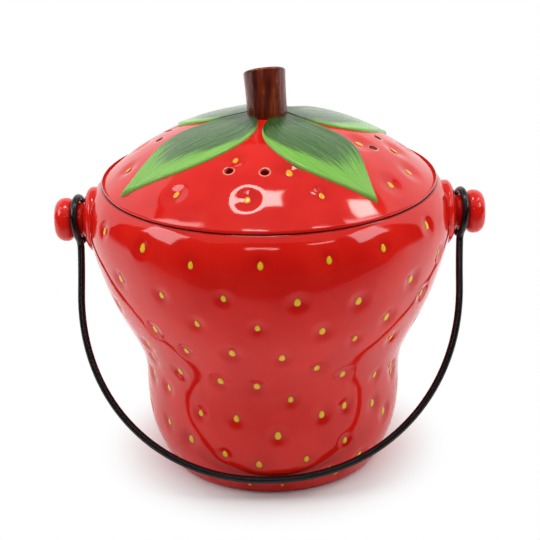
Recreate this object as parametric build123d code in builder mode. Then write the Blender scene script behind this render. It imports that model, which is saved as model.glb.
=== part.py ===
"""Strawberry-shaped ceramic compost crock with a domed lid, a wire bail and a charcoal filter.

Millimetres, +Z up. The origin is the middle of the foot, on the surface that it stands on.
The front faces -Y, and the bail turns about an axis along X.
"""
from build123d import *
from math import asin, atan2, cos, degrees, radians, sin, sqrt
import os

# Crock: how far the side is drawn in from its widest at each station, from the foot to the seam
# under the lid, and each station's height above the one before
WIDEST_RADIUS, WIDEST_RISE = 100.0, 22.0
FOOT_DRAW = 39.2
HEEL_DRAW, HEEL_RISE = 30.4, 19.6
WAIST_DRAW, WAIST_RISE = 27.6, 22.4
TUCK_DRAW, TUCK_RISE = 26.4, 21.0
HIP_DRAW, HIP_RISE = 19.4, 18.0
FLANK_DRAW, FLANK_RISE = 9.7, 20.5
CHEST_DRAW, CHEST_RISE = 2.6, 22.5
SEAM_DRAW, SEAM_RISE = 8.1, 17.0
FOOT_FLARE_ANGLE = 31.0
SHOULDER_ANGLE = 47.0
WALL = 6.0
FLOOR_THICKNESS = 6.5
FOOT_RECESS = 2.5
FOOT_RING_WIDTH = 7.0
FOOT_ROUND = 3.0
FLOOR_ROUND = 9.0
RIM_WIDTH = 8.4
SEAM_ROUND = 1.3

# Lid: a dome, with a flange that drops into the mouth
DOME_RISE = 36.5
LID_WALL = 6.0
FLANGE_DROP = 12.0
FLANGE_WALL = 5.5
MOUTH_CLEARANCE = 1.2
FILTER_LEDGE = 3.0
LEDGE_RISE = 1.0
VENT_RADIUS = 2.5
VENT_INSET = 32.4
VENT_PAIRS = 4
VENT_PAIR_ANGLE = 18.0

# The four leaves and the vents are set out from this line, in degrees round from the front
LAYOUT_ANGLE = -11.0
LEAF_RELIEF = 2.6
LEAF_EDGE_ROUND = 1.3
LEAF_START = 8.0
FRONT_LEAF_MARGIN, FRONT_LEAF_ANGLE = 6.9, 54.0
REAR_LEAF_MARGIN, REAR_LEAF_ANGLE = 16.9, 130.0
LEAF_FULL_WIDTH = 28.5
LEAF_SHORT_WIDTH = 14.0
LEAF_TIP_CURL = 4.0
LEAF_TIP_ROUND = 1.6

# Stem that the lid is lifted by, cut off askew
STEM_BASE_RADIUS = 11.0
STEM_TOP_RADIUS = 12.2
STEM_HEIGHT = 29.0
STEM_LEAN = 2.0
STEM_CUT_BACK_ANGLE = 22.0
STEM_CUT_SIDE_ANGLE = 5.0
STEM_EDGE_ROUND = 1.2

# Lugs that carry the bail: a collar on the crock, a neck and a button
LUG_DROP = 4.9
COLLAR_RADIUS, COLLAR_THICKNESS = 18.7, 5.6
COLLAR_PROUD = 4.5
LUG_ROOT_RADIUS = 16.0
NECK_RADIUS, NECK_LENGTH = 10.0, 4.8
BUTTON_RADIUS, BUTTON_LENGTH = 12.4, 10.6
COLLAR_ROUND = 2.4
BUTTON_ROUND = 4.2
BUTTON_LIP_ROUND = 1.9

# Bail: one length of coated wire, with an eye at each end
WIRE_RADIUS = 2.0
BAIL_HANG_HEIGHT = 14.0
BAIL_REST_GAP = 0.5
EYE_CLEARANCE = 0.7
EYE_BEND_RADIUS = 6.0
EYE_GAP_ANGLE = 15.0

# Filter and the grille that holds it in the lid
FILTER_THICKNESS = 6.0
FILTER_CLEARANCE = 1.0
GRILLE_THICKNESS = 2.5
GRILLE_CLEARANCE = 0.6
GRILLE_RIM_WIDTH = 4.0
GRILLE_RIM_DEPTH = 5.5
GRILLE_SPOKES = 12
GRILLE_SPOKE_WIDTH = 3.0
GRILLE_HUB_RADIUS = 13.0
GRILLE_HOOP_WIDTH = 3.5
PULL_RADIUS, PULL_LENGTH = 5.0, 7.0

# Sizes that follow from the ones above
waist_height = HEEL_RISE + WAIST_RISE
tuck_height = waist_height + TUCK_RISE
hip_height = tuck_height + HIP_RISE
flank_height = hip_height + FLANK_RISE
chest_height = flank_height + CHEST_RISE
widest_height = chest_height + WIDEST_RISE
seam_height = widest_height + SEAM_RISE
foot_radius = WIDEST_RADIUS - FOOT_DRAW
seam_radius = WIDEST_RADIUS - SEAM_DRAW
mouth_radius = seam_radius - RIM_WIDTH
vent_circle_radius = seam_radius - VENT_INSET
dome_radius = (seam_radius**2 + DOME_RISE**2) / (2 * DOME_RISE)
apex_height = seam_height + DOME_RISE
dome_centre = apex_height - dome_radius
flange_radius = mouth_radius - MOUTH_CLEARANCE
filter_bore = flange_radius - FLANGE_WALL
ledge_height = seam_height + LEDGE_RISE
lug_height = widest_height - LUG_DROP
collar_face_x = WIDEST_RADIUS + COLLAR_PROUD
eye_x = collar_face_x + NECK_LENGTH / 2
eye_radius = NECK_RADIUS + EYE_CLEARANCE + WIRE_RADIUS
button_start = collar_face_x + NECK_LENGTH

os.makedirs("parts", exist_ok=True)


def save(solid, name):
    """Label a finished piece and write its STEP file."""
    solid.label = name
    export_step(solid, f"parts/{name}.step")


def around(distance, turn):
    """A point in plan, at a turn in degrees round from the front towards +X."""
    return distance * sin(radians(turn)), -distance * cos(radians(turn))


def crock_side(inset, bottom, top):
    """Points of the crock's side from bottom to top, with those between moved inwards by inset."""
    stations = [
        (HEEL_DRAW, HEEL_RISE),
        (WAIST_DRAW, waist_height),
        (TUCK_DRAW, tuck_height),
        (HIP_DRAW, hip_height),
        (FLANK_DRAW, flank_height),
        (CHEST_DRAW, chest_height),
        (0, widest_height),
    ]
    return [bottom] + [(WIDEST_RADIUS - draw - inset, height) for draw, height in stations] + [top]


# Solid of the crock's whole outside, which the lugs are also trimmed to
side_ends = [(sin(radians(FOOT_FLARE_ANGLE)), cos(radians(FOOT_FLARE_ANGLE))),
             (-sin(radians(SHOULDER_ANGLE)), cos(radians(SHOULDER_ANGLE)))]
with BuildPart() as crock_outside:
    with BuildSketch(Plane.YZ):
        with BuildLine():
            side = Spline(*crock_side(0, (foot_radius, 0), (seam_radius, seam_height)),
                          tangents=side_ends)
            Line(side @ 1, (0, seam_height))
            Line((0, seam_height), (0, 0))
            Line((0, 0), side @ 0)
        make_face()
    revolve(axis=Axis.Z)

with BuildPart() as crock_inside:
    floor_height = FOOT_RECESS + FLOOR_THICKNESS
    with BuildSketch(Plane.YZ):
        with BuildLine():
            side = Spline(*crock_side(WALL, (foot_radius - WALL / 2, floor_height),
                                      (mouth_radius, seam_height - WALL / 2)))
            Line(side @ 1, (mouth_radius, seam_height))
            Line((mouth_radius, seam_height), (0, seam_height))
            Line((0, seam_height), (0, floor_height))
            Line((0, floor_height), side @ 0)
        make_face()
    revolve(axis=Axis.Z)
    fillet(crock_inside.edges().group_by(Axis.Z)[0], radius=FLOOR_ROUND)

# Crock body: thrown wall, foot ring under a shallow recess, rim that the lid rests on
with BuildPart() as crock_body:
    add(crock_outside.part)
    fillet(crock_body.edges().group_by(Axis.Z)[0], radius=FOOT_ROUND)
    fillet(crock_body.edges().group_by(Axis.Z)[-1], radius=SEAM_ROUND)
    add(crock_inside.part, mode=Mode.SUBTRACT)
    with BuildSketch(Plane.XY):
        Circle(foot_radius - FOOT_ROUND - FOOT_RING_WIDTH)
    extrude(amount=FOOT_RECESS, taper=20, mode=Mode.SUBTRACT)

# Lid shell: dome, flange, ledge for the filter
with BuildPart() as lid_shell:
    inner_radius = dome_radius - LID_WALL
    ledge_inner = filter_bore - FILTER_LEDGE
    with BuildSketch(Plane.XZ) as lid_half:
        with BuildLine():
            outer = ThreePointArc(
                (0, apex_height),
                (dome_radius * sin(asin(seam_radius / dome_radius) / 2),
                 dome_centre + dome_radius * cos(asin(seam_radius / dome_radius) / 2)),
                (seam_radius, seam_height))
            Polyline(outer @ 1,
                     (flange_radius, seam_height),
                     (flange_radius, seam_height - FLANGE_DROP),
                     (filter_bore, seam_height - FLANGE_DROP),
                     (filter_bore, ledge_height),
                     (ledge_inner, ledge_height),
                     (ledge_inner, dome_centre + sqrt(inner_radius**2 - ledge_inner**2)))
            ThreePointArc(
                (ledge_inner, dome_centre + sqrt(inner_radius**2 - ledge_inner**2)),
                (ledge_inner / 2, dome_centre + sqrt(inner_radius**2 - ledge_inner**2 / 4)),
                (0, dome_centre + inner_radius))
            Line((0, dome_centre + inner_radius), (0, apex_height))
        make_face()
        fillet(lid_half.vertices().sort_by(Axis.X)[-1], radius=SEAM_ROUND)
        fillet(lid_half.vertices().group_by(Axis.Y)[0], radius=SEAM_ROUND)
    revolve(axis=Axis.Z)
    for pair in range(VENT_PAIRS):
        for side_of_pair in (-1, 1):
            turn = LAYOUT_ANGLE + pair * 360 / VENT_PAIRS + side_of_pair * VENT_PAIR_ANGLE / 2
            x, y = around(vent_circle_radius, turn)
            rise = sqrt(dome_radius**2 - vent_circle_radius**2)
            outwards = Plane(origin=(x, y, dome_centre + rise), z_dir=(x, y, rise))
            with Locations(outwards):
                Hole(VENT_RADIUS, depth=2 * LID_WALL)

# Stem: stands on the dome, leans to the left, widens upwards
with BuildPart(mode=Mode.PRIVATE) as dome_ball:
    with Locations((0, 0, dome_centre)):
        Sphere(dome_radius)

with BuildPart() as stem_knob:
    stem_root = apex_height - LID_WALL / 2
    stem_top = apex_height + STEM_HEIGHT
    with BuildSketch(Plane.XY.offset(stem_root)):
        Circle(STEM_BASE_RADIUS)
    with BuildSketch(Plane.XY.offset((stem_root + stem_top) / 2)):
        with Locations((-STEM_LEAN * 0.45, 0)):
            Circle(STEM_BASE_RADIUS)
    with BuildSketch(Plane.XY.offset(stem_top + LID_WALL)):
        with Locations((-STEM_LEAN, 0)):
            Circle(STEM_TOP_RADIUS)
    loft()
    across, back = sin(radians(STEM_CUT_SIDE_ANGLE)), sin(radians(STEM_CUT_BACK_ANGLE))
    high_point = (STEM_TOP_RADIUS * cos(radians(60)), -STEM_TOP_RADIUS * sin(radians(60)), stem_top)
    split(bisect_by=Plane(origin=high_point, z_dir=(-across, back, sqrt(1 - across**2 - back**2))),
          keep=Keep.BOTTOM)
    fillet(stem_knob.faces().sort_by(Axis.Z)[-1].edges(), radius=STEM_EDGE_ROUND)
    add(dome_ball.part, mode=Mode.SUBTRACT)


def leaf(reach, turn, full_side):
    """A leaf in relief on the dome. Its fuller half is on full_side, +1 towards a greater turn."""
    span = reach - LEAF_START
    full, short = LEAF_FULL_WIDTH * full_side, -LEAF_SHORT_WIDTH * full_side
    full_half = [(0.0, 0.10), (0.08, 0.60), (0.22, 0.90), (0.40, 1.0), (0.56, 0.94), (0.76, 0.66),
                 (0.90, 0.36)]
    short_half = [(0.0, 0.45), (0.22, 0.60), (0.46, 1.0), (0.60, 0.93), (0.76, 0.45), (0.90, 0.0)]
    tip = (reach, LEAF_TIP_CURL * full_side)
    lift = Plane(origin=(0, 0, seam_height),
                 x_dir=(sin(radians(turn)), -cos(radians(turn)), 0), z_dir=(0, 0, 1))
    with BuildPart() as piece:
        with BuildSketch(lift) as outline:
            with BuildLine():
                one = Spline(*[(LEAF_START + s * span, w * full) for s, w in full_half], tip)
                other = Spline(*[(LEAF_START + s * span, w * short) for s, w in short_half], tip)
                Line(one @ 0, other @ 0)
            make_face()
            fillet(outline.vertices().sort_by(Axis.X)[-1], radius=LEAF_TIP_ROUND)
        extrude(amount=DOME_RISE + 4 * LEAF_RELIEF)
        with Locations((0, 0, dome_centre)):
            Sphere(dome_radius + LEAF_RELIEF, mode=Mode.INTERSECT)
        fillet(piece.faces().filter_by(GeomType.SPHERE).edges(), radius=LEAF_EDGE_ROUND)
        add(dome_ball.part, mode=Mode.SUBTRACT)
        add(stem_knob.part, mode=Mode.SUBTRACT)
    return piece.part


leaf_front_right = leaf(seam_radius - FRONT_LEAF_MARGIN, LAYOUT_ANGLE + FRONT_LEAF_ANGLE, -1)
leaf_front_left = leaf(seam_radius - FRONT_LEAF_MARGIN, LAYOUT_ANGLE - FRONT_LEAF_ANGLE, 1)
leaf_rear_right = leaf(seam_radius - REAR_LEAF_MARGIN, LAYOUT_ANGLE + REAR_LEAF_ANGLE, -1)
leaf_rear_left = leaf(seam_radius - REAR_LEAF_MARGIN, LAYOUT_ANGLE - REAR_LEAF_ANGLE, 1)

# Lug, turned about the bail's axis, with its root trimmed to the crock's side
with BuildPart() as lug_right:
    pivot = Axis((0, 0, lug_height), (1, 0, 0))
    root_x = WIDEST_RADIUS - 2 * WALL
    collar_x = collar_face_x - COLLAR_THICKNESS
    button_x = button_start + BUTTON_LENGTH
    with BuildSketch(Plane.XZ) as lug_half:
        with BuildLine():
            Polyline((root_x, lug_height),
                     (root_x, lug_height + LUG_ROOT_RADIUS),
                     (collar_x, lug_height + LUG_ROOT_RADIUS),
                     (collar_x, lug_height + COLLAR_RADIUS),
                     (collar_face_x, lug_height + COLLAR_RADIUS),
                     (collar_face_x, lug_height + NECK_RADIUS),
                     (button_start, lug_height + NECK_RADIUS),
                     (button_start, lug_height + BUTTON_RADIUS),
                     (button_x, lug_height + BUTTON_RADIUS),
                     (button_x, lug_height),
                     close=True)
        make_face()
        fillet(lug_half.vertices().group_by(Axis.Y)[-1], radius=COLLAR_ROUND)
        fillet(lug_half.vertices().sort_by(Axis.X)[-2:].sort_by(Axis.Y)[-1], radius=BUTTON_ROUND)
        button_lip = lug_half.vertices().filter_by_position(Axis.X, button_start, button_start)
        fillet(button_lip.sort_by(Axis.Y)[-1], radius=BUTTON_LIP_ROUND)
    revolve(axis=pivot)
    add(crock_outside.part, mode=Mode.SUBTRACT)
lug_left = lug_right.part.mirror(Plane.YZ)

# Bail: legs and arch in one leaning plane, each eye in a plane square to the pivot. It hangs
# against the crock's heel.
heel_slice = crock_outside.part & Plane.XY.offset(BAIL_HANG_HEIGHT)
heel_gap = WIRE_RADIUS + BAIL_REST_GAP
hang_reach = heel_slice.bounding_box().max.Y + heel_gap / cos(radians(FOOT_FLARE_ANGLE))
lean = atan2(hang_reach, lug_height - BAIL_HANG_HEIGHT)
bail_drop = sqrt(hang_reach**2 + (lug_height - BAIL_HANG_HEIGHT) ** 2)
bend_start = sqrt(eye_radius**2 + 2 * eye_radius * EYE_BEND_RADIUS)
bend_turn = degrees(atan2(EYE_BEND_RADIUS, bend_start))


def bail_point(x, along, forward=0.0):
    """A point on the bail: along its leg from the pivot, and forward of its leaning plane."""
    return Vector(x, -along * sin(lean) - forward * cos(lean),
                  lug_height - along * cos(lean) + forward * sin(lean))


def eye_point(x, turn, radius=eye_radius, centre=(0.0, 0.0)):
    """A point on a circle in the plane of an eye, turned from the leg towards the front."""
    along, forward = centre
    return bail_point(x, along + radius * cos(radians(turn)), forward + radius * sin(radians(turn)))


def eye(x):
    """Centre line of one eye, with the bend that leads into its leg."""
    free_end = 360 - EYE_GAP_ANGLE
    round_neck = ThreePointArc(eye_point(x, free_end), eye_point(x, (free_end + bend_turn) / 2),
                               eye_point(x, bend_turn))
    bend_middle = eye_point(x, (bend_turn - 270) / 2, EYE_BEND_RADIUS, (bend_start, EYE_BEND_RADIUS))
    ThreePointArc(round_neck @ 1, bend_middle, bail_point(x, bend_start))
    Line(bail_point(x, bend_start), bail_point(x, bail_drop - eye_x))
    return round_neck


with BuildPart() as bail_wire:
    with BuildLine() as bail_path:
        first_eye = eye(eye_x)
        eye(-eye_x)
        ThreePointArc(bail_point(eye_x, bail_drop - eye_x), bail_point(0, bail_drop),
                      bail_point(-eye_x, bail_drop - eye_x))
    with BuildSketch(Plane(origin=first_eye @ 0, z_dir=first_eye % 0)):
        Circle(WIRE_RADIUS)
    sweep(path=bail_path.wires()[0])

# Charcoal filter, lying on the grille that holds it under the ledge
filter_base = ledge_height - FILTER_THICKNESS
with BuildPart() as charcoal_filter:
    with BuildSketch(Plane.XY.offset(filter_base)):
        Circle(filter_bore - FILTER_CLEARANCE)
    extrude(amount=FILTER_THICKNESS)

with BuildPart() as filter_grille:
    grille_radius = filter_bore - GRILLE_CLEARANCE
    window_outer = grille_radius - GRILLE_RIM_WIDTH
    hoop_radius = (window_outer + GRILLE_HUB_RADIUS) / 2
    with BuildSketch(Plane.XY.offset(filter_base)):
        Circle(grille_radius)
        Circle(window_outer, mode=Mode.SUBTRACT)
    extrude(amount=-GRILLE_RIM_DEPTH)
    with BuildSketch(Plane.XY.offset(filter_base)):
        Circle(hoop_radius + GRILLE_HOOP_WIDTH / 2)
        Circle(hoop_radius - GRILLE_HOOP_WIDTH / 2, mode=Mode.SUBTRACT)
        Circle(GRILLE_HUB_RADIUS)
        with PolarLocations((window_outer + GRILLE_HUB_RADIUS) / 2, GRILLE_SPOKES):
            Rectangle(window_outer - GRILLE_HUB_RADIUS + GRILLE_SPOKE_WIDTH, GRILLE_SPOKE_WIDTH)
    extrude(amount=-GRILLE_THICKNESS)
    with BuildSketch(Plane.XY.offset(filter_base - GRILLE_THICKNESS)):
        Circle(PULL_RADIUS)
    extrude(amount=-PULL_LENGTH, taper=-8)

for name, piece in {
    "crock_body": crock_body.part,
    "lug_left": lug_left,
    "lug_right": lug_right.part,
    "lid_shell": lid_shell.part,
    "stem_knob": stem_knob.part,
    "leaf_front_right": leaf_front_right,
    "leaf_front_left": leaf_front_left,
    "leaf_rear_right": leaf_rear_right,
    "leaf_rear_left": leaf_rear_left,
    "bail_wire": bail_wire.part,
    "charcoal_filter": charcoal_filter.part,
    "filter_grille": filter_grille.part,
}.items():
    save(piece, name)
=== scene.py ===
"""Looks of a strawberry-shaped ceramic compost crock.

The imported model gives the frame. This script dresses it with a dimpled, hand-painted glaze,
leaves in relief, a wire bail, studio light and the photograph's camera. Everything is in metres.
"""
import logging
import math
from dataclasses import dataclass
from enum import Enum
from typing import Iterable, Mapping, Sequence

import bpy
import numpy as np
from mathutils import Matrix, Vector


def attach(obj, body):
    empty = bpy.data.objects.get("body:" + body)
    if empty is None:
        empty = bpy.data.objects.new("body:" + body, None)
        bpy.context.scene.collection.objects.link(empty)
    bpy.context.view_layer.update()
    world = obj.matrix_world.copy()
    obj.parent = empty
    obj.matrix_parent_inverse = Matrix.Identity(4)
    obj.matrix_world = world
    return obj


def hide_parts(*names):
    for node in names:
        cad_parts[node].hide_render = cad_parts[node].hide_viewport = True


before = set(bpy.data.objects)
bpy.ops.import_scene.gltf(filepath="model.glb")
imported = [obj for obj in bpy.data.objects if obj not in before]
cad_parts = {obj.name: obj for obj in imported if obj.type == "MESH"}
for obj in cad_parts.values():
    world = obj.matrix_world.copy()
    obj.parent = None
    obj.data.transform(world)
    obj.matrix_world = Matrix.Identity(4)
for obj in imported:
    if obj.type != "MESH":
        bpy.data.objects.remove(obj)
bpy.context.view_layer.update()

log = logging.getLogger("crock")

Rgb = tuple[float, float, float]
Xyz = tuple[float, float, float]
Span = tuple[float, float]


# ---- Node trees ----


class Signal:
    """A number socket that adds Math nodes when it stands in an expression."""

    def __init__(self, bench: "Bench", socket: bpy.types.NodeSocket) -> None:
        """Keep the socket and the bench that its tree is built on.

        Args:
            bench: The bench that adds the nodes.
            socket: The output socket that carries the number.
        """
        self.bench = bench
        self.socket = socket

    def __add__(self, other: "Signal | float") -> "Signal":
        """Return the sum."""
        return self.bench.math("ADD", self, other)

    __radd__ = __add__

    def __sub__(self, other: "Signal | float") -> "Signal":
        """Return the difference."""
        return self.bench.math("SUBTRACT", self, other)

    def __rsub__(self, other: float) -> "Signal":
        """Return a number less this signal."""
        return self.bench.math("SUBTRACT", other, self)

    def __mul__(self, other: "Signal | float") -> "Signal":
        """Return the product."""
        return self.bench.math("MULTIPLY", self, other)

    __rmul__ = __mul__

    def __truediv__(self, other: "Signal | float") -> "Signal":
        """Return the quotient."""
        return self.bench.math("DIVIDE", self, other)

    def __rtruediv__(self, other: float) -> "Signal":
        """Return a number divided by this signal."""
        return self.bench.math("DIVIDE", other, self)

    def __pow__(self, power: "Signal | float") -> "Signal":
        """Return this signal raised to a power."""
        return self.bench.math("POWER", self, power)

    def step(self, low: float, high: float) -> "Signal":
        """Return 0 below low and 1 above high, with a smooth rise between them.

        Args:
            low: Where the rise starts. It may lie above high for a fall.
            high: Where the rise ends.

        Returns:
            The smoothed mask.
        """
        made = self.bench.node(
            "ShaderNodeMapRange",
            {"interpolation_type": "SMOOTHSTEP"},
            {0: self, 1: min(low, high), 2: max(low, high),
             3: 0.0 if low < high else 1.0, 4: 1.0 if low < high else 0.0},
        )
        return Signal(self.bench, made.outputs[0])

    def clamp(self) -> "Signal":
        """Return this signal held between 0 and 1."""
        return self.bench.math("MINIMUM", self.bench.math("MAXIMUM", self, 0.0), 1.0)

    def between(self, low: float, high: float) -> "Signal":
        """Return low where this signal is 0 and high where it is 1."""
        return self * (high - low) + low


class Bench:
    """Adds nodes to one node tree."""

    def __init__(self, tree: bpy.types.NodeTree) -> None:
        """Start work on a tree.

        Args:
            tree: A shader tree or a geometry tree.
        """
        self.tree = tree

    def node(
        self,
        kind: str,
        settings: Mapping[str, object] | None = None,
        sockets: Mapping[int | str, object] | None = None,
    ) -> bpy.types.Node:
        """Add one node.

        Args:
            kind: The node's type.
            settings: Properties of the node.
            sockets: Values or links of its inputs, by index or name.

        Returns:
            The new node.
        """
        made = self.tree.nodes.new(kind)
        for name, value in (settings or {}).items():
            setattr(made, name, value)
        for key, value in (sockets or {}).items():
            self.feed(made.inputs[key], value)
        return made

    def feed(self, socket: bpy.types.NodeSocket, value: object) -> None:
        """Give an input socket a link or a plain value.

        Args:
            socket: The input.
            value: A Signal, an output socket, a number or a sequence of numbers.
        """
        if isinstance(value, Signal):
            self.tree.links.new(value.socket, socket)
        elif isinstance(value, bpy.types.NodeSocket):
            self.tree.links.new(value, socket)
        elif socket.type == "RGBA" and len(value) == 3:
            socket.default_value = (*value, 1.0)
        else:
            socket.default_value = value

    def math(self, operation: str, *values: "Signal | float") -> Signal:
        """Add a Math node.

        Args:
            operation: The node's operation.
            values: Its inputs in order.

        Returns:
            The result as a signal.
        """
        made = self.node("ShaderNodeMath", {"operation": operation}, dict(enumerate(values)))
        return Signal(self, made.outputs[0])

    def vector(self, operation: str, *values: object) -> bpy.types.NodeSocket:
        """Add a Vector Math node and return its vector output.

        Args:
            operation: The node's operation.
            values: Its inputs in order.

        Returns:
            The vector output socket.
        """
        made = self.node("ShaderNodeVectorMath", {"operation": operation}, dict(enumerate(values)))
        return made.outputs["Vector"]

    def scaled(self, vector: object, factor: Signal | float) -> bpy.types.NodeSocket:
        """Return a vector times a number."""
        made = self.node("ShaderNodeVectorMath", {"operation": "SCALE"}, {0: vector, "Scale": factor})
        return made.outputs[0]

    def joined(self, *parts: Signal | float) -> bpy.types.NodeSocket:
        """Return the vector that three numbers make."""
        return self.node("ShaderNodeCombineXYZ", {}, dict(enumerate(parts))).outputs[0]

    def split(self, vector: object) -> tuple[Signal, Signal, Signal]:
        """Return the three numbers of a vector."""
        made = self.node("ShaderNodeSeparateXYZ", {}, {0: vector})
        return tuple(Signal(self, socket) for socket in made.outputs)


class Paint(Bench):
    """A bench for a material, with the inputs that this crock's finishes read."""

    def __init__(self, name: str) -> None:
        """Make the material and clear its tree.

        Args:
            name: The material's name.
        """
        self.material = bpy.data.materials.new(name)
        self.material.use_nodes = True
        super().__init__(self.material.node_tree)
        self.tree.nodes.clear()
        self.place = self.node("ShaderNodeTexCoord").outputs["Object"]

    def noise(self, cells: float | Xyz, detail: float = 3.0, roughness: float = 0.5,
              place: bpy.types.NodeSocket | None = None) -> Signal:
        """Return a noise value from 0 to 1.

        Args:
            cells: Cells per unit of the place, the same each way or one number for each axis.
            detail: Octaves of finer noise.
            roughness: How strong the finer octaves are.
            place: The vector that the noise reads. Object coordinates, in metres, if left out.

        Returns:
            The noise as a signal.
        """
        each_way = cells if isinstance(cells, tuple) else (cells, cells, cells)
        stretched = self.vector("MULTIPLY", place or self.place, each_way)
        made = self.node("ShaderNodeTexNoise", {}, {"Vector": stretched, "Scale": 1.0,
                                                    "Detail": detail, "Roughness": roughness})
        return Signal(self, made.outputs[0])

    def attribute(self, name: str) -> tuple[Signal, bpy.types.NodeSocket]:
        """Read a mesh attribute, which is 0 on a piece that has none.

        Args:
            name: The attribute's name.

        Returns:
            Its number and its vector.
        """
        made = self.node("ShaderNodeAttribute", {"attribute_name": name})
        return Signal(self, made.outputs["Fac"]), made.outputs["Vector"]

    def blend(self, mask: Signal | float, low: object, high: object) -> bpy.types.NodeSocket:
        """Mix two colours.

        Args:
            mask: 0 gives low and 1 gives high.
            low: A colour or a colour socket.
            high: A colour or a colour socket.

        Returns:
            The mixed colour.
        """
        return self.node("ShaderNodeMix", {"data_type": "RGBA"}, {0: mask, 6: low, 7: high}).outputs[2]

    def glow(self, colour: Rgb) -> bpy.types.NodeSocket:
        """Return a surface that gives off light of a colour."""
        return self.node("ShaderNodeEmission", {}, {"Color": colour, "Strength": 1.0}).outputs[0]

    def close(self, shader: bpy.types.Node) -> bpy.types.Material:
        """Send a shader to the material's output and return the material."""
        self.node("ShaderNodeOutputMaterial", {}, {0: shader.outputs[0]})
        return self.material


# ---- Finishes ----


@dataclass(frozen=True)
class Finish:
    """What every finish has: its relief in metres, how rough it is, and how strongly it mirrors."""

    relief: float = 0.0004
    roughness: Span = (0.05, 0.10)
    refraction: float = 1.52

    def closed(self, paint: Paint, colour: object, rough: Signal, raised: Signal) -> bpy.types.Material:
        """Close a finish's material with its surface shader.

        Args:
            paint: The material's bench.
            colour: Base colour.
            rough: 0 where the finish is smoothest and 1 where it is roughest. It isn't read where the
                roughness is the same all over.
            raised: Height of its relief, 0 to 1.

        Returns:
            The material.
        """
        low, high = self.roughness
        normal = paint.node("ShaderNodeBump", {}, {"Strength": 1.0, "Distance": self.relief,
                                                   "Height": raised})
        shader = paint.node("ShaderNodeBsdfPrincipled", {}, {
            "Base Color": colour, "Roughness": low if low == high else rough.between(low, high),
            "Normal": normal.outputs[0], "IOR": self.refraction})
        return paint.close(shader)


@dataclass(frozen=True)
class RedGlaze(Finish):
    """Glossy red over white clay, thin and pink on the lip of each vent, where a painted highlight is added,
    and darkened by painted shade inside each vent and along the seam with the lid.
    """

    thin: Rgb = (0.74, 0.014, 0.007)
    full: Rgb = (0.67, 0.009, 0.005)
    # Pooled glaze in the dimples and specks, and painted shade inside the vents.
    pooled_and_shade: Rgb = (0.42, 0.003, 0.002)
    # Pale pink: glaze thin on the vents' lips, with a painted highlight on them.
    thin_lip_and_highlight: Rgb = (0.84, 0.36, 0.27)
    # Painted shade along the seam between lid and crock.
    seam_shade: Rgb = (0.13, 0.004, 0.003)
    cloud_cells: Xyz = (38.0, 38.0, 30.0)
    cloud_span: Span = (0.35, 0.68)
    pooled_share: float = 0.3
    speck_cells: float = 900.0
    speck_span: Span = (0.62, 0.80)
    speck_share: float = 0.12
    lip_highlight_span: Span = (0.0009, 0.0004)
    lip_highlight_share: float = 0.75
    throat_shade_span: Span = (0.0002, -0.0004)
    seam_shade_span: Span = (0.0007, 0.0002)
    seam_shade_share: float = 0.8
    ripple_cells: Xyz = (52.0, 52.0, 38.0)
    grain_cells: float = 1400.0
    grain_share: float = 0.012
    lip_slope: Span = (0.0, 0.0011)
    lip_height: float = 0.5

    def material(self, vents: "VentSize", seam_height: float) -> bpy.types.Material:
        """Return the glaze as a material.

        Args:
            vents: Where the vents lie, because the glaze runs thin and carries a painted highlight on their
                lips, and painted shade in their holes.
            seam_height: Height of the seam between crock and lid, which painted shade darkens.

        Returns:
            The material, which lugs, crock and lid share.
        """
        paint = Paint("red_glaze")
        cloud = paint.noise(self.cloud_cells, 2.0)
        speck = paint.noise(self.speck_cells, 2.0)
        hollow, _ = paint.attribute("dimple")
        red = paint.blend(cloud.step(*self.cloud_span), self.full, self.thin)
        red = paint.blend((hollow * self.pooled_share).clamp(), red, self.pooled_and_shade)
        red = paint.blend(speck.step(*self.speck_span) * self.speck_share, red, self.pooled_and_shade)
        beside_vent = self._distance_to_vent(paint, vents)
        # Painted highlight on each vent's lip, over glaze that runs thin there.
        red = paint.blend(beside_vent.step(*self.lip_highlight_span) * self.lip_highlight_share, red, self.thin_lip_and_highlight)
        # Painted shade inside each vent's hole.
        red = paint.blend(beside_vent.step(*self.throat_shade_span), red, self.pooled_and_shade)
        _, _, height = paint.split(paint.place)
        # Painted shade along the seam between lid and crock.
        beside_seam = paint.math("ABSOLUTE", height - seam_height)
        red = paint.blend(beside_seam.step(*self.seam_shade_span) * self.seam_shade_share, red, self.seam_shade)
        raised = (paint.noise(self.ripple_cells, 1.0)
                  + paint.noise(self.grain_cells, 1.0) * self.grain_share
                  + beside_vent.step(*self.lip_slope) * self.lip_height)
        return self.closed(paint, red, cloud, raised)

    @staticmethod
    def _distance_to_vent(paint: Paint, vents: "VentSize") -> Signal:
        """Return how far a place on the lid is from the edge of its nearest vent.

        Args:
            paint: The material's bench.
            vents: Where the vents lie.

        Returns:
            The distance, less than 0 inside the vent and large everywhere below the lid.
        """
        x, y, z = paint.split(paint.place)
        radius = (x * x + y * y) ** 0.5
        turn = paint.math("ARCTAN2", x, y * -1.0) * math.degrees(1.0) - vents.layout_turn
        part = 360.0 / vents.pairs
        folded = paint.math("ABSOLUTE", paint.math("FLOORED_MODULO", turn + part / 2, part) - part / 2)
        aside = (folded - vents.pair_turn / 2) * math.radians(1.0) * vents.circle
        outward = (radius - vents.circle) * vents.dome_slant
        below = z.step(vents.lowest, vents.lowest - vents.blur)
        return (aside * aside + outward * outward) ** 0.5 + below - vents.radius


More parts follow.
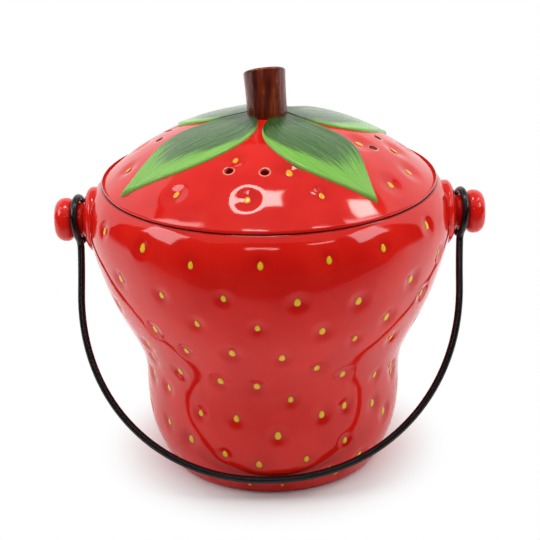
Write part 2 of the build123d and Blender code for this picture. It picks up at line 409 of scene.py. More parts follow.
@dataclass(frozen=True)
class SeedGlaze(Finish):
    """Mustard yellow dabbed on each seed, thin over the red at its edge and more orange on the lid."""

    core: Rgb = (0.84, 0.56, 0.020)
    thin: Rgb = (0.66, 0.26, 0.010)
    lid_core: Rgb = (0.86, 0.42, 0.010)
    lid_thin: Rgb = (0.74, 0.16, 0.006)
    lid_span: Span = (-0.001, 0.001)
    under: Rgb = (0.60, 0.010, 0.005)
    mottle_cells: float = 520.0
    core_span: Span = (0.06, 0.36)
    core_stray: float = 0.35
    edge_span: Span = (0.01, 0.10)
    edge_stray: float = 0.08
    worn_cells: float = 120.0
    worn_span: Span = (0.50, 0.75)
    worn_share: float = 0.25
    relief: float = 0.0001
    roughness: Span = (0.07, 0.13)

    def material(self, seam_height: float) -> bpy.types.Material:
        """Return the seeds' glaze as a material.

        Args:
            seam_height: Height above which a seed is on the lid.

        Returns:
            The material.
        """
        paint = Paint("seed_glaze")
        middle, _ = paint.attribute("seed_core")
        mottle = paint.noise(self.mottle_cells)
        worn = paint.noise(self.worn_cells, 1.0).step(*self.worn_span)
        _, _, height = paint.split(paint.place)
        on_lid = (height - seam_height).step(*self.lid_span)
        core = paint.blend(on_lid, self.core, self.lid_core)
        thin = paint.blend(on_lid, self.thin, self.lid_thin)
        dabbed = (middle + (mottle - 0.5) * self.core_stray).step(*self.core_span)
        covered = (middle + (mottle - 0.5) * self.edge_stray).step(*self.edge_span)
        colour = paint.blend(dabbed, thin, core)
        colour = paint.blend(worn * self.worn_share, colour, thin)
        colour = paint.blend(covered, self.under, colour)
        return self.closed(paint, colour, mottle, mottle)


@dataclass(frozen=True)
class WhiteGlaze(Finish):
    """Clear glaze over the white clay of the lining, with a few specks of iron."""

    cream: Rgb = (0.80, 0.77, 0.70)
    shade: Rgb = (0.70, 0.66, 0.57)
    iron: Rgb = (0.32, 0.22, 0.12)
    cloud_cells: float = 45.0
    cloud_span: Span = (0.30, 0.75)
    iron_cells: float = 700.0
    iron_span: Span = (0.74, 0.82)
    iron_share: float = 0.35
    roughness: Span = (0.10, 0.18)
    refraction: float = 1.50

    def material(self) -> bpy.types.Material:
        """Return the lining's glaze as a material."""
        paint = Paint("white_glaze")
        cloud = paint.noise(self.cloud_cells)
        iron = paint.noise(self.iron_cells, 1.0).step(*self.iron_span)
        colour = paint.blend(cloud.step(*self.cloud_span), self.cream, self.shade)
        colour = paint.blend(iron * self.iron_share, colour, self.iron)
        return self.closed(paint, colour, cloud, cloud)


@dataclass(frozen=True)
class BareClay(Finish):
    """Unglazed clay of the foot ring and of the faces that were wiped clean to fire on."""

    pale: Rgb = (0.66, 0.58, 0.47)
    dark: Rgb = (0.50, 0.41, 0.31)
    grit_cells: float = 1600.0
    grit_span: Span = (0.35, 0.70)
    grit_share: float = 0.5
    stain_cells: float = 70.0
    stain_share: float = 0.4
    relief: float = 0.00025
    roughness: Span = (0.85, 0.95)
    refraction: float = 1.50

    def material(self) -> bpy.types.Material:
        """Return the bare clay as a material."""
        paint = Paint("bare_clay")
        grit = paint.noise(self.grit_cells, 4.0)
        stain = paint.noise(self.stain_cells)
        darker = grit.step(*self.grit_span) * self.grit_share + stain * self.stain_share
        colour = paint.blend(darker.clamp(), self.pale, self.dark)
        return self.closed(paint, colour, grit, grit)


@dataclass(frozen=True)
class LeafGlaze(Finish):
    """Light green, with dark green brushed along the leaf from the stem and along its far half, and a paler
    rolled rim that is partly a painted highlight.

    The brushing is worked out in the leaf's own place: how far along it, from 0 at the stem to 1 at
    the tip, and how far across, from -1 to 1.
    """

    light: Rgb = (0.16, 0.46, 0.040)
    pale: Rgb = (0.24, 0.52, 0.085)
    mid: Rgb = (0.070, 0.165, 0.045)
    dark: Rgb = (0.030, 0.085, 0.018)
    heart: Rgb = (0.014, 0.060, 0.006)
    # Paler green for the rolled rim, partly the leaf's light edge and partly a painted highlight.
    edge: Rgb = (0.30, 0.60, 0.16)
    cells_along: float = 2.6
    cells_across: float = 9.0
    leaf_shift: Span = (7.0, 3.0)
    hair_stretch: Xyz = (1.2, 4.5, 1.0)
    pale_span: Span = (0.35, 0.70)
    brush_load: float = 1.06
    brush_fade: float = 1.02
    brush_lean: float = 0.66
    brush_streak: float = 0.75
    brush_hair: float = 0.4
    brush_span: Span = (0.26, 0.46)
    dry_hair: Span = (0.50, 0.66)
    dry_run: Span = (0.15, 0.70)
    dry_share: float = 0.55
    line_span: Span = (0.46, 0.62)
    line_share: float = 0.85
    heart_load: float = 0.24
    heart_fade: float = 1.1
    heart_lean: float = 0.05
    heart_streak: float = 0.4
    heart_span: Span = (0.02, 0.10)
    heart_share: float = 0.9
    rim_highlight_span: Span = (0.62, 0.95)
    rim_highlight_share: float = 0.5
    streak_height: float = 0.7
    relief: float = 0.0005
    roughness: Span = (0.06, 0.14)

    def material(self) -> bpy.types.Material:
        """Return the leaf's glaze as a material."""
        paint = Paint("green_glaze")
        _, leaf_place = paint.attribute("leaf_place")
        rim, _ = paint.attribute("leaf_rim")
        along, across, which = paint.split(leaf_place)
        fan = paint.joined(along * self.cells_along,
                           across * self.cells_across + which * self.leaf_shift[0],
                           which * self.leaf_shift[1])
        streak = paint.noise(1.0, 4.0, 0.6, fan)
        hair = paint.noise(self.hair_stretch, 3.0, 0.6, fan)
        front = paint.math("MAXIMUM", across, 0.0)
        brush = (self.brush_load - along * self.brush_fade - front * front * self.brush_lean
                 + (streak - 0.5) * self.brush_streak + (hair - 0.5) * self.brush_hair)
        brushed = brush.step(*self.brush_span)
        dry = hair.step(*self.dry_hair) * along.step(*self.dry_run) * self.dry_share
        heart = (self.heart_load - along * self.heart_fade - across * self.heart_lean
                 + (streak - 0.5) * self.heart_streak)
        colour = paint.blend(streak.step(*self.pale_span), self.light, self.pale)
        colour = paint.blend((brushed * (1.0 - dry)).clamp(), colour, self.mid)
        lines = brushed * hair.step(*self.line_span) * self.line_share
        colour = paint.blend(lines.clamp(), colour, self.dark)
        colour = paint.blend(heart.step(*self.heart_span) * self.heart_share, colour, self.heart)
        # Paler rim, partly a painted highlight along the rolled edge.
        colour = paint.blend(rim.step(*self.rim_highlight_span) * self.rim_highlight_share, colour, self.edge)
        raised = streak * self.streak_height + hair * (1.0 - self.streak_height)
        return self.closed(paint, colour, hair, raised)


@dataclass(frozen=True)
class StemGlaze(Finish):
    """Dark brown glaze run in streaks down the stem, with rust where it is thin."""

    dark: Rgb = (0.075, 0.008, 0.004)
    brown: Rgb = (0.21, 0.028, 0.010)
    rust: Rgb = (0.40, 0.085, 0.018)
    streak_cells: Xyz = (260.0, 260.0, 30.0)
    blot_cells: Xyz = (190.0, 190.0, 120.0)
    brown_span: Span = (0.35, 0.62)
    rust_span: Span = (0.48, 0.70)
    blot_span: Span = (0.42, 0.62)
    ridge_share: float = 0.6
    relief: float = 0.0009
    roughness: Span = (0.08, 0.16)

    def material(self) -> bpy.types.Material:
        """Return the stem's glaze as a material."""
        paint = Paint("brown_glaze")
        streak = paint.noise(self.streak_cells, 3.0, 0.55)
        blot = paint.noise(self.blot_cells)
        colour = paint.blend(streak.step(*self.brown_span), self.dark, self.brown)
        rusty = streak.step(*self.rust_span) * blot.step(*self.blot_span)
        colour = paint.blend(rusty.clamp(), colour, self.rust)
        raised = streak * self.ridge_share + blot * self.ridge_share
        return self.closed(paint, colour, blot, raised)


@dataclass(frozen=True)
class WireCoat(Finish):
    """Black coating on the bail's wire, drawn into faint lines along it and worn along those lines and in
    flecks.
    """

    black: Rgb = (0.004, 0.004, 0.005)
    worn: Rgb = (0.016, 0.016, 0.018)
    drawn_cells: Xyz = (5.0, 5.0, 40.0)
    drawn_span: Span = (0.45, 0.75)
    drawn_share: float = 0.6
    grit_cells: float = 1500.0
    grit_span: Span = (0.60, 0.80)
    grit_share: float = 0.3
    relief: float = 0.00012
    roughness: Span = (0.14, 0.26)
    grit_roughness: float = 1 / 3
    refraction: float = 1.50

    def material(self) -> bpy.types.Material:
        """Return the coating as a material."""
        paint = Paint("black_wire")
        _, wire_place = paint.attribute("wire_place")
        drawn = paint.noise(self.drawn_cells, place=wire_place)
        grit = paint.noise(self.grit_cells, 2.0)
        wear = (drawn.step(*self.drawn_span) * self.drawn_share
                + grit.step(*self.grit_span) * self.grit_share)
        colour = paint.blend(wear.clamp(), self.black, self.worn)
        raised = drawn * self.drawn_share + grit * (1.0 - self.drawn_share)
        return self.closed(paint, colour, drawn + grit * self.grit_roughness, raised)


@dataclass(frozen=True)
class Felt(Finish):
    """Charcoal-filled felt of the filter."""

    black: Rgb = (0.012, 0.012, 0.013)
    fibre: Rgb = (0.06, 0.06, 0.063)
    fluff_cells: float = 500.0
    fluff_span: Span = (0.40, 0.70)
    strand_cells: Xyz = (2600.0, 500.0, 900.0)
    strand_span: Span = (0.55, 0.75)
    share: float = 0.6
    relief: float = 0.0008
    roughness: Span = (0.95, 0.95)
    refraction: float = 1.50

    def material(self) -> bpy.types.Material:
        """Return the felt as a material."""
        paint = Paint("filter_felt")
        fluff = paint.noise(self.fluff_cells, 6.0, 0.7)
        strand = paint.noise(self.strand_cells, 4.0, 0.6)
        light = (fluff.step(*self.fluff_span) + strand.step(*self.strand_span)) * self.share
        colour = paint.blend(light.clamp(), self.black, self.fibre)
        raised = fluff * self.share + strand * (1.0 - self.share)
        return self.closed(paint, colour, fluff, raised)


@dataclass(frozen=True)
class MouldedPlastic(Finish):
    """Matt black plastic of the filter's grille, with a fine spark-eroded grain."""

    black: Rgb = (0.016, 0.016, 0.017)
    sheen: Rgb = (0.035, 0.035, 0.037)
    grain_cells: float = 1900.0
    flow_cells: float = 60.0
    flow_span: Span = (0.35, 0.70)
    relief: float = 0.00008
    roughness: Span = (0.42, 0.58)
    refraction: float = 1.46

    def material(self) -> bpy.types.Material:
        """Return the plastic as a material."""
        paint = Paint("grille_plastic")
        grain = paint.noise(self.grain_cells)
        flow = paint.noise(self.flow_cells, 2.0)
        colour = paint.blend(flow.step(*self.flow_span), self.black, self.sheen)
        return self.closed(paint, colour, grain, grain)


# ---- Shared geometry ----


class Coat(Enum):
    """Which finish a face of a skin takes."""

    GLAZE = 0
    LINING = 1
    CLAY = 2


def around(distance: float, turn: float) -> tuple[float, float]:
    """Return a point in plan, at a turn in degrees round from the front towards +X."""
    return distance * math.sin(math.radians(turn)), -distance * math.cos(math.radians(turn))


def smooth_curve(points: Sequence[tuple[float, float]], start: tuple[float, float] | None,
                 end: tuple[float, float] | None, spacing: float) -> np.ndarray:
    """Sample a cubic spline through points of a plane.

    Args:
        points: The points that the curve passes through.
        start: Direction at the first point, or None to leave it free.
        end: Direction at the last point, or None to leave it free.
        spacing: Distance between samples.

    Returns:
        One row for each sample.
    """
    knots = np.array(points)
    spans = np.linalg.norm(np.diff(knots, axis=0), axis=1)
    place = np.concatenate([[0.0], np.cumsum(spans)])
    count = len(knots)
    system, right = np.zeros((count, count)), np.zeros((count, 2))
    for row, beside, span, given in ((0, 1, spans[0], start), (-1, -2, spans[-1], end)):
        if given is None:
            system[row, row], system[row, beside] = 2.0, 1.0
            right[row] = 3 * (knots[max(row, beside)] - knots[min(row, beside)]) / span
        else:
            system[row, row] = 1.0
            right[row] = np.array(given) / np.linalg.norm(given)
    for i in range(1, count - 1):
        before, after = spans[i - 1], spans[i]
        system[i, i - 1:i + 2] = after, 2 * (before + after), before
        right[i] = 3 * (after * (knots[i] - knots[i - 1]) / before
                        + before * (knots[i + 1] - knots[i]) / after)
    slopes = np.linalg.solve(system, right)
    samples = []
    for i, span in enumerate(spans):
        steps = max(2, round(span / spacing))
        for t in np.arange(steps) / steps:
            samples.append((2 * t**3 - 3 * t**2 + 1) * knots[i]
                           + (t**3 - 2 * t**2 + t) * span * slopes[i]
                           + (3 * t**2 - 2 * t**3) * knots[i + 1]
                           + (t**3 - t**2) * span * slopes[i + 1])
    samples.append(knots[-1])
    return np.array(samples)


def arc(centre: tuple[float, float], radius: float, first: float, last: float, steps: int) -> np.ndarray:
    """Sample a circular arc in the radius and height plane.

    Args:
        centre: Radius and height of its centre.
        radius: Its radius.
        first: Angle of its first point, in degrees from the +radius direction towards +Z.
        last: Angle of its last point.
        steps: Number of chords.

    Returns:
        One row for each point.
    """
    turns = np.radians(np.linspace(first, last, steps + 1))
    return np.stack([centre[0] + radius * np.cos(turns), centre[1] + radius * np.sin(turns)], axis=1)


def straight(one: tuple[float, float], other: tuple[float, float], spacing: float) -> np.ndarray:
    """Sample a straight run from one point to just short of the other."""
    steps = max(1, round(math.dist(one, other) / spacing))
    shares = np.arange(steps)[:, None] / steps
    return np.array(one) + (np.array(other) - np.array(one)) * shares


def eased(value: np.ndarray, low: float, high: float) -> np.ndarray:
    """Return 0 below low and 1 above high, with a smooth rise between them."""
    share = np.clip((value - low) / (high - low), 0, 1)
    return share * share * (3 - 2 * share)


def attribute(mesh: bpy.types.Mesh, name: str, kind: str, values: np.ndarray,
              domain: str = "POINT") -> None:
    """Store an attribute on a mesh.

    Args:
        mesh: The mesh.
        name: The attribute's name.
        kind: Its data type.
        values: One number or one vector for each element.
        domain: The element that carries it.
    """
    made = mesh.attributes.new(name, kind, domain)
    key = "vector" if kind == "FLOAT_VECTOR" else "value"
    made.data.foreach_set(key, np.asarray(values).astype(np.float32 if kind != "INT" else np.int32).ravel())


def new_piece(name: str, data: bpy.types.ID) -> bpy.types.Object:
    """Link a mesh, lamp or camera into the scene as an object at the origin."""
    piece = bpy.data.objects.new(name, data)
    bpy.context.scene.collection.objects.link(piece)
    return piece


def settle(piece: bpy.types.Object, node: str, body: str) -> bpy.types.Object:
    """Put a finished piece in the place of a node.

    Args:
        piece: The piece.
        node: The node that it stands for.
        body: The body that it rides on.

    Returns:
        The same piece.
    """
    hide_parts(node)
    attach(piece, body)
    log.info("%s has %d faces", piece.name, len(piece.data.polygons))
    return piece


def live(sockets: Iterable[bpy.types.NodeSocket], name: str) -> bpy.types.NodeSocket:
    """Return the socket of a name that the node's settings leave in use."""
    return next(socket for socket in sockets if socket.enabled and socket.name == name)


def grid_mesh(name: str, rows: np.ndarray, closed_rows: bool, caps: tuple[bool, bool]) -> bpy.types.Mesh:
    """Make a mesh from a grid of points.

    Args:
        name: The mesh's name.
        rows: Points, as rows by columns by 3.
        closed_rows: True if each row's last point joins its first.
        caps: True where the first or the last row is a single point on the axis.

    Returns:
        The mesh, smooth shaded.
    """
    count, width = rows.shape[0], rows.shape[1]
    ring = np.arange(count * width).reshape(count, width)
    points = rows.reshape(-1, 3)
    columns = range(width) if closed_rows else range(width - 1)
    faces = []
    for i in range(count - 1):
        for j in columns:
            k = (j + 1) % width
            if i == 0 and caps[0]:
                faces.append((ring[0, 0], ring[1, k], ring[1, j]))
            elif i == count - 2 and caps[1]:
                faces.append((ring[i, j], ring[i, k], ring[-1, 0]))
            else:
                faces.append((ring[i, j], ring[i, k], ring[i + 1, k], ring[i + 1, j]))
    used = np.unique(np.concatenate([np.array(face) for face in faces]))
    renumber = np.full(len(points), -1)
    renumber[used] = np.arange(len(used))
    mesh = bpy.data.meshes.new(name)
    mesh.from_pydata(points[used].tolist(), [], [[int(renumber[v]) for v in face] for face in faces])
    mesh.polygons.foreach_set("use_smooth", [True] * len(mesh.polygons))
    mesh.update()
    return mesh


def turned_mesh(name: str, profile: np.ndarray, around_count: int) -> bpy.types.Mesh:
    """Turn a profile round the vertical axis.

    Args:
        name: The mesh's name.
        profile: Radius and height of each point, from the axis under the piece, out round its
            outside, and back along its inside to the axis.
        around_count: Points round the axis.

    Returns:
        The closed mesh, facing outwards.
    """
    turns = np.linspace(0, 2 * math.pi, around_count, endpoint=False)
    radius, height = profile[:, :1], profile[:, 1:]
    rows = np.stack([radius * np.sin(turns), -radius * np.cos(turns),
                     np.broadcast_to(height, (len(profile), around_count))], axis=2)
    return grid_mesh(name, rows, True, (True, True))


class Growth(Bench):
    """A geometry tree that is run once on a piece and then left behind as plain mesh."""

    def __init__(self, name: str, inputs: Mapping[str, str]) -> None:
        """Make the tree with its named inputs.

        Args:
            name: The tree's name.
            inputs: Socket type of each input after the geometry, by name.
        """
        super().__init__(bpy.data.node_groups.new(name, "GeometryNodeTree"))
        face = self.tree.interface
        face.new_socket(name="Geometry", in_out="INPUT", socket_type="NodeSocketGeometry")
        face.new_socket(name="Geometry", in_out="OUTPUT", socket_type="NodeSocketGeometry")
        self.keys = {label: face.new_socket(name=label, in_out="INPUT", socket_type=kind).identifier
                     for label, kind in inputs.items()}
        self.entry = self.node("NodeGroupInput")

    def given(self, label: str) -> bpy.types.NodeSocket:
        """Return the socket of a named input."""
        return self.entry.outputs[label]

    def number(self, label: str) -> Signal:
        """Return a named input as a signal."""
        return Signal(self, self.entry.outputs[label])

    def named(self, name: str, kind: str) -> bpy.types.NodeSocket:
        """Return a mesh attribute of a data type."""
        made = self.node("GeometryNodeInputNamedAttribute", {"data_type": kind}, {"Name": name})
        return live(made.outputs, "Attribute")

    def reading(self, name: str, kind: str = "FLOAT") -> Signal:
        """Return a mesh attribute that holds numbers as a signal."""
        return Signal(self, self.named(name, kind))

    def shape_of(self, label: str) -> bpy.types.NodeSocket:
        """Return the geometry of the object that a named input holds."""
        return self.node("GeometryNodeObjectInfo", {}, {"Object": self.given(label)}).outputs["Geometry"]

    def copies(self, points: object, shape: object,
               scale: object = (1.0, 1.0, 1.0)) -> bpy.types.NodeSocket:
        """Set a copy of a shape on each point, turned as the point's own attribute says.

        Args:
            points: The points.
            shape: The shape.
            scale: Size of each copy along its own axes.

        Returns:
            The copies.
        """
        turn = self.node("FunctionNodeEulerToRotation", {}, {0: self.named("turned", "FLOAT_VECTOR")})
        made = self.node("GeometryNodeInstanceOnPoints", {}, {"Points": points, "Instance": shape,
                                                              "Rotation": turn.outputs[0], "Scale": scale})
        return made.outputs[0]

    def compare(self, operation: str, one: object, other: float) -> bpy.types.NodeSocket:
        """Return where a number compares with another as the operation says."""
        return self.node("FunctionNodeCompare", {"data_type": "FLOAT", "operation": operation},
                         {0: one, 1: other}).outputs[0]

    def shaded(self, geometry: object, domain: str, smooth: bool,
               where: object = True) -> bpy.types.NodeSocket:
        """Shade the chosen faces or edges smooth or sharp and return the geometry."""
        return self.node("GeometryNodeSetShadeSmooth", {"domain": domain},
                         {"Geometry": geometry, "Selection": where, "Shade Smooth": smooth}).outputs[0]

    def sampled(self, geometry: object, index: object, kind: str, value: object) -> bpy.types.NodeSocket:
        """Return a value at one point of another geometry.

        Args:
            geometry: The geometry to read.
            index: The point's index.
            kind: The value's data type.
            value: The value, worked out on that geometry.

        Returns:
            The value's socket.
        """
        made = self.node("GeometryNodeSampleIndex", {"data_type": kind},
                         {"Geometry": geometry, "Index": index})
        self.feed(live(made.inputs, "Value"), value)
        return live(made.outputs, "Value")

    def store(self, geometry: object, name: str, kind: str, value: object) -> bpy.types.NodeSocket:
        """Store an attribute on the points of a geometry and return the geometry."""
        made = self.node("GeometryNodeStoreNamedAttribute", {"data_type": kind, "domain": "POINT"},
                         {"Geometry": geometry, "Name": name})
        self.feed(live(made.inputs, "Value"), value)
        return made.outputs["Geometry"]

    def paint_all(self, geometry: object, coats: Sequence[tuple[str, object]]) -> bpy.types.NodeSocket:
        """Realize what is there and set its materials.

        Args:
            geometry: The geometry to finish.
            coats: Material input of each coat, and the selection that it goes on or None for all.

        Returns:
            The finished geometry.
        """
        flow = self.node("GeometryNodeRealizeInstances", {}, {0: geometry}).outputs[0]
        for label, where in coats:
            made = self.node("GeometryNodeSetMaterial", {},
                             {"Geometry": flow, "Material": self.given(label)})
            if where is not None:
                self.feed(made.inputs["Selection"], where)
            flow = made.outputs[0]
        return flow

    def close(self, geometry: object) -> None:
        """Send a geometry to the tree's output."""
        self.node("NodeGroupOutput", {}, {0: geometry})

    def run(self, piece: bpy.types.Object, values: Mapping[str, object]) -> bpy.types.Object:
        """Run the tree on a piece and keep the result as plain mesh.

        Args:
            piece: The object that the tree works on.
            values: Value of each named input.

        Returns:
            The same object, with its new mesh.
        """
        modifier = piece.modifiers.new("growth", "NODES")
        modifier.node_group = self.tree
        for label, value in values.items():
            modifier[self.keys[label]] = value
        bpy.context.view_layer.update()
        graph = bpy.context.evaluated_depsgraph_get()
        result = bpy.data.meshes.new_from_object(piece.evaluated_get(graph), preserve_all_data_layers=True,
                                                 depsgraph=graph)
        piece.modifiers.clear()
        old, piece.data = piece.data, result
        result.name = piece.name
        bpy.data.meshes.remove(old)
        return piece


# ---- Sizes of the pieces ----


@dataclass(frozen=True)
class CrockSize:
    """Sizes of the crock, in metres and degrees. The side has the radius and height of its stations."""

    side: tuple[tuple[float, float], ...] = (
        (0.0608, 0.0), (0.0696, 0.0196), (0.0724, 0.0420), (0.0736, 0.0630), (0.0806, 0.0810),
        (0.0903, 0.1015), (0.0974, 0.1240), (0.1000, 0.1460), (0.0919, 0.1630))
    foot_flare: float = 31.0
    shoulder: float = 47.0
    wall: float = 0.006
    foot_recess: float = 0.0025
    recess_draft: float = 20.0
    foot_ring: float = 0.0070
    foot_round: float = 0.0030
    foot_round_top: float = 0.0018
    floor_height: float = 0.0090
    floor_flat: float = 0.05246
    floor_round: float = 0.0090
    floor_round_lean: float = 29.0
    floor_round_top: float = 0.0140
    inside_start: Span = (0.42, 0.90)
    inside_end: Span = (-0.62, 0.78)
    inside_spacing: float = 0.004
    mouth_radius: float = 0.0835
    seat_step: float = 0.0006
    seam_round: float = 0.0013
    seam_trim: float = 0.00036
    seam_height: float = 0.1630


@dataclass(frozen=True)
class LidSize:
    """Sizes of the lid, in metres and degrees.

    The end of the seat and the middle of the edge are shares of the round beside the seam.
    """

    rise: float = 0.0365
    wall: float = 0.006
    flange_drop: float = 0.012
    flange_wall: float = 0.0055
    mouth_clearance: float = 0.0012
    ledge: float = 0.003
    ledge_rise: float = 0.001
    ledge_depth: float = 0.003
    edge_inset: float = 0.0011
    edge_middle: float = 0.25
    edge_trim: float = 0.35
    seat_end: float = 0.40
    plain_middle: Span = (0.012, 0.020)


@dataclass(frozen=True)
class VentSize:
    """Sizes and places of the vents, in metres and degrees."""

    radius: float = 0.0025
    circle: float = 0.0595
    pairs: int = 4
    pair_turn: float = 18.0
    layout_turn: float = -11.0
    lowest: float = 0.170
    blur: float = 0.002
    dome_slant: float = 1.12
    sharp_turn: float = 50.0
    sides: int = 48


@dataclass(frozen=True)
class DimpleSize:
    """Sizes of the dimples that the seeds lie in, and of the seeds, in metres."""

    depth: float = 0.0013
    spread: float = 0.0076
    lid_spread: float = 0.0100
    seed_width: float = 0.0036
    seed_length: float = 0.0052
    seed_height: float = 0.0008
    seed_point: float = 0.2
    seed_sunk: float = 0.00045
    swell: float = 0.0003
    swell_cells: float = 30.0
    fade: Span = (0.002, 0.006)
    lug_clearance: float = 0.006


@dataclass(frozen=True)
class SeedScatter:
    """How the unseen seeds are strewn, in degrees and mm, and how far any seed is from the usual size."""

    spacing_turn: float = 20.0
    turn_stray: float = 3.5
    turn_beat: Span = (7.3, 2.1)
    height_stray: float = 1.0
    row_stray: float = 0.6
    height_beat: Span = (4.7, 1.3)
    lowest: float = 4.0
    size: float = 0.95
    size_stray: float = 0.10
    size_beat: Span = (5.1, 1.0)
    lid_size_beat: Span = (3.3, 0.0)

    @staticmethod
    def stray(beat: Span, one: float, other: float) -> float:
        """Return a fixed stray from -1 to 1 that looks random from one pair of numbers to the next."""
        return math.sin(beat[0] * one + beat[1] * other)

    def size_at(self, beat: Span, one: float, other: float = 0.0) -> float:
        """Return a seed's share of the usual size."""
        return self.size + self.size_stray * self.stray(beat, one, other)


@dataclass(frozen=True)
class LeafSize:
    """Sizes and place of one leaf, in metres and degrees.

    The full side is the side of its middle line that bulges, +1 or -1. The tip's cut is a share of
    its round, and its span a share of the way from the stem to the tip.
    """

    name: str
    reach: float
    turn: float
    full_side: int
    start: float = 0.0080
    full_width: float = 0.0285
    short_width: float = 0.0140
    tip_curl: float = 0.0040
    tip_round: float = 0.0006
    tip_cut: float = 0.8
    relief: float = 0.0012
    edge_low: float = 0.0003
    edge_round: float = 0.0009
    rim_width: float = 0.0016
    dish: float = 0.0003
    dish_width: float = 0.005
    tip_lift: float = 0.0008
    tip_span: Span = (0.90, 0.99)
    sunk: float = 0.0014
    outline_spacing: float = 0.0004


@dataclass(frozen=True)
class BailSize:
    """Sizes of the bail, in metres and degrees."""

    wire: float = 0.0020
    eye_x: float = 0.1058
    eye_radius: float = 0.0120
    eye_slant: float = 0.0018
    bend_radius: float = 0.0060
    gap_turn: float = 15.0
    pivot_height: float = 0.1411
    hang_reach: float = 0.0701
    hang_height: float = 0.0132
    pinch: float = 0.0013
    sway: float = 0.0024
    bow_power: float = 0.952
    sides: int = 24
    eye_steps: int = 72
    bend_steps: int = 12
    bow_steps: int = 72
    leg_spacing: float = 0.004


@dataclass(frozen=True)
class LugSize:
    """Sizes of a lug, in metres. Distances are from the middle of the crock.

    The face of the boss has the radius and distance of its stations. The calm sizes say where the
    crock's dimples fade out beside a lug.
    """

    height: float = 0.1411
    root: float = 0.0940
    root_middle: float = 0.0970
    boss_radius: float = 0.0179
    boss_face: tuple[tuple[float, float], ...] = (
        (0.0179, 0.0980), (0.0169, 0.0998), (0.0138, 0.1016), (0.0104, 0.1027), (0.0092, 0.1036))
    neck_radius: float = 0.0092
    button_radius: float = 0.0121
    button_start: float = 0.1086
    button_end: float = 0.1191
    lip_round: float = 0.0039
    end_round: float = 0.0058
    face_lean: Span = (-0.1, 1.0)
    core: float = 0.004
    end_core: float = 0.0008
    root_spacing: float = 0.002
    side_spacing: float = 0.001
    face_spacing: float = 0.0005
    neck_spacing: float = 0.0012
    end_spacing: float = 0.0015
    sides: int = 96
    calm_gap: float = 0.001
    calm_width: float = 0.010
    calm_from: float = 0.070


CROCK = CrockSize()
LID = LidSize()
VENTS = VentSize()
DIMPLES = DimpleSize()
SCATTER = SeedScatter()
BAIL = BailSize()
LUG = LugSize()
SEAM_RADIUS = CROCK.side[-1][0]
DOME_RADIUS = (SEAM_RADIUS**2 + LID.rise**2) / (2 * LID.rise)
DOME_MIDDLE = CROCK.seam_height + LID.rise - DOME_RADIUS
LEAVES = (
    LeafSize("leaf_front_right", 0.085, 43.0, -1),
    LeafSize("leaf_front_left", 0.0879, -65.0, 1),
    LeafSize("leaf_rear_right", 0.075, 119.0, -1, tip_lift=0.0002),
    LeafSize("leaf_rear_left", 0.073, -141.0, 1, tip_lift=0.0002),
)

# Seeds seen on the crock's front, row by row: turn round from the front, and height in mm
CROCK_SEED_ROWS = (
    ((-62, 150.7), (-41.5, 151.2), (-23.8, 147.8), (-3, 149.8), (17.1, 150.4), (35.3, 151), (56.7, 153.1)),
    ((-53.8, 127.7), (-35, 127.2), (-14.1, 131.2), (7.6, 128.7), (27.2, 124.2), (48.2, 127.1), (65, 133)),
    ((-64.6, 105.6), (-43.4, 101.6), (-24, 113.4), (-4.5, 113.8), (16.1, 109.1), (40.6, 108), (58.7, 112.6)),
    ((-55.5, 84.4), (-31.7, 92.4), (-13.9, 95.6), (3.2, 92.8), (28.7, 99.9), (48.4, 90.2)),
    ((-40.9, 73.1), (-21.5, 73.3), (-6.6, 71.9), (16.5, 83.1), (28.9, 74.1), (64.2, 62.7)),
    ((-67.1, 58.7), (-52.8, 57.1), (-33.4, 49.6), (-16.3, 50.3), (7.2, 62.7), (32.2, 52.8), (49.1, 64.5)),
    ((-54.6, 35.1), (-40.3, 30.5), (-22.6, 26.9), (1.6, 40.8), (21, 50.8), (32.9, 30.9), (49.4, 46.8),
     (59.5, 36.2)),
    ((-32.4, 7.2), (-12.9, 4.2), (-7.1, 21.7), (14.3, 24.3), (31.9, 8.1), (3.5, 2.6)),
)
# Seeds on the lid: turn round from the front, and distance from the stem in mm
LID_SEEDS = (
    (-100.1, 71.7), (-78.5, 77.6), (-38.3, 76.9), (-19.4, 51.5), (-8.5, 75.3), (10, 59.8), (20.5, 75.3),
    (53.4, 78.9), (67, 52.8), (71.3, 79.1), (83.8, 68.9), (101, 78), (127, 77.5), (146, 76), (160, 53),
    (171, 76.5), (188, 58), (199, 75.5), (-129, 76), (-112, 53.5),
)


# ---- Crock and lid ----


@dataclass(frozen=True)
class Run:
    """A stretch of a skin's profile, with its coat and how far dimples show on it."""

    points: np.ndarray
    coat: Coat
    shown: np.ndarray | float = 0.0


@dataclass(frozen=True)
class Site:
    """Where a seed or a vent sits on a skin, and its share of the usual size."""

    point: Xyz
    normal: Xyz
    rise: Xyz
    size: float


def trimmed(curve: np.ndarray, low: float, high: float) -> np.ndarray:
    """Return the samples of a curve whose height lies between two heights."""
    return curve[(curve[:, 1] > low) & (curve[:, 1] < high)]


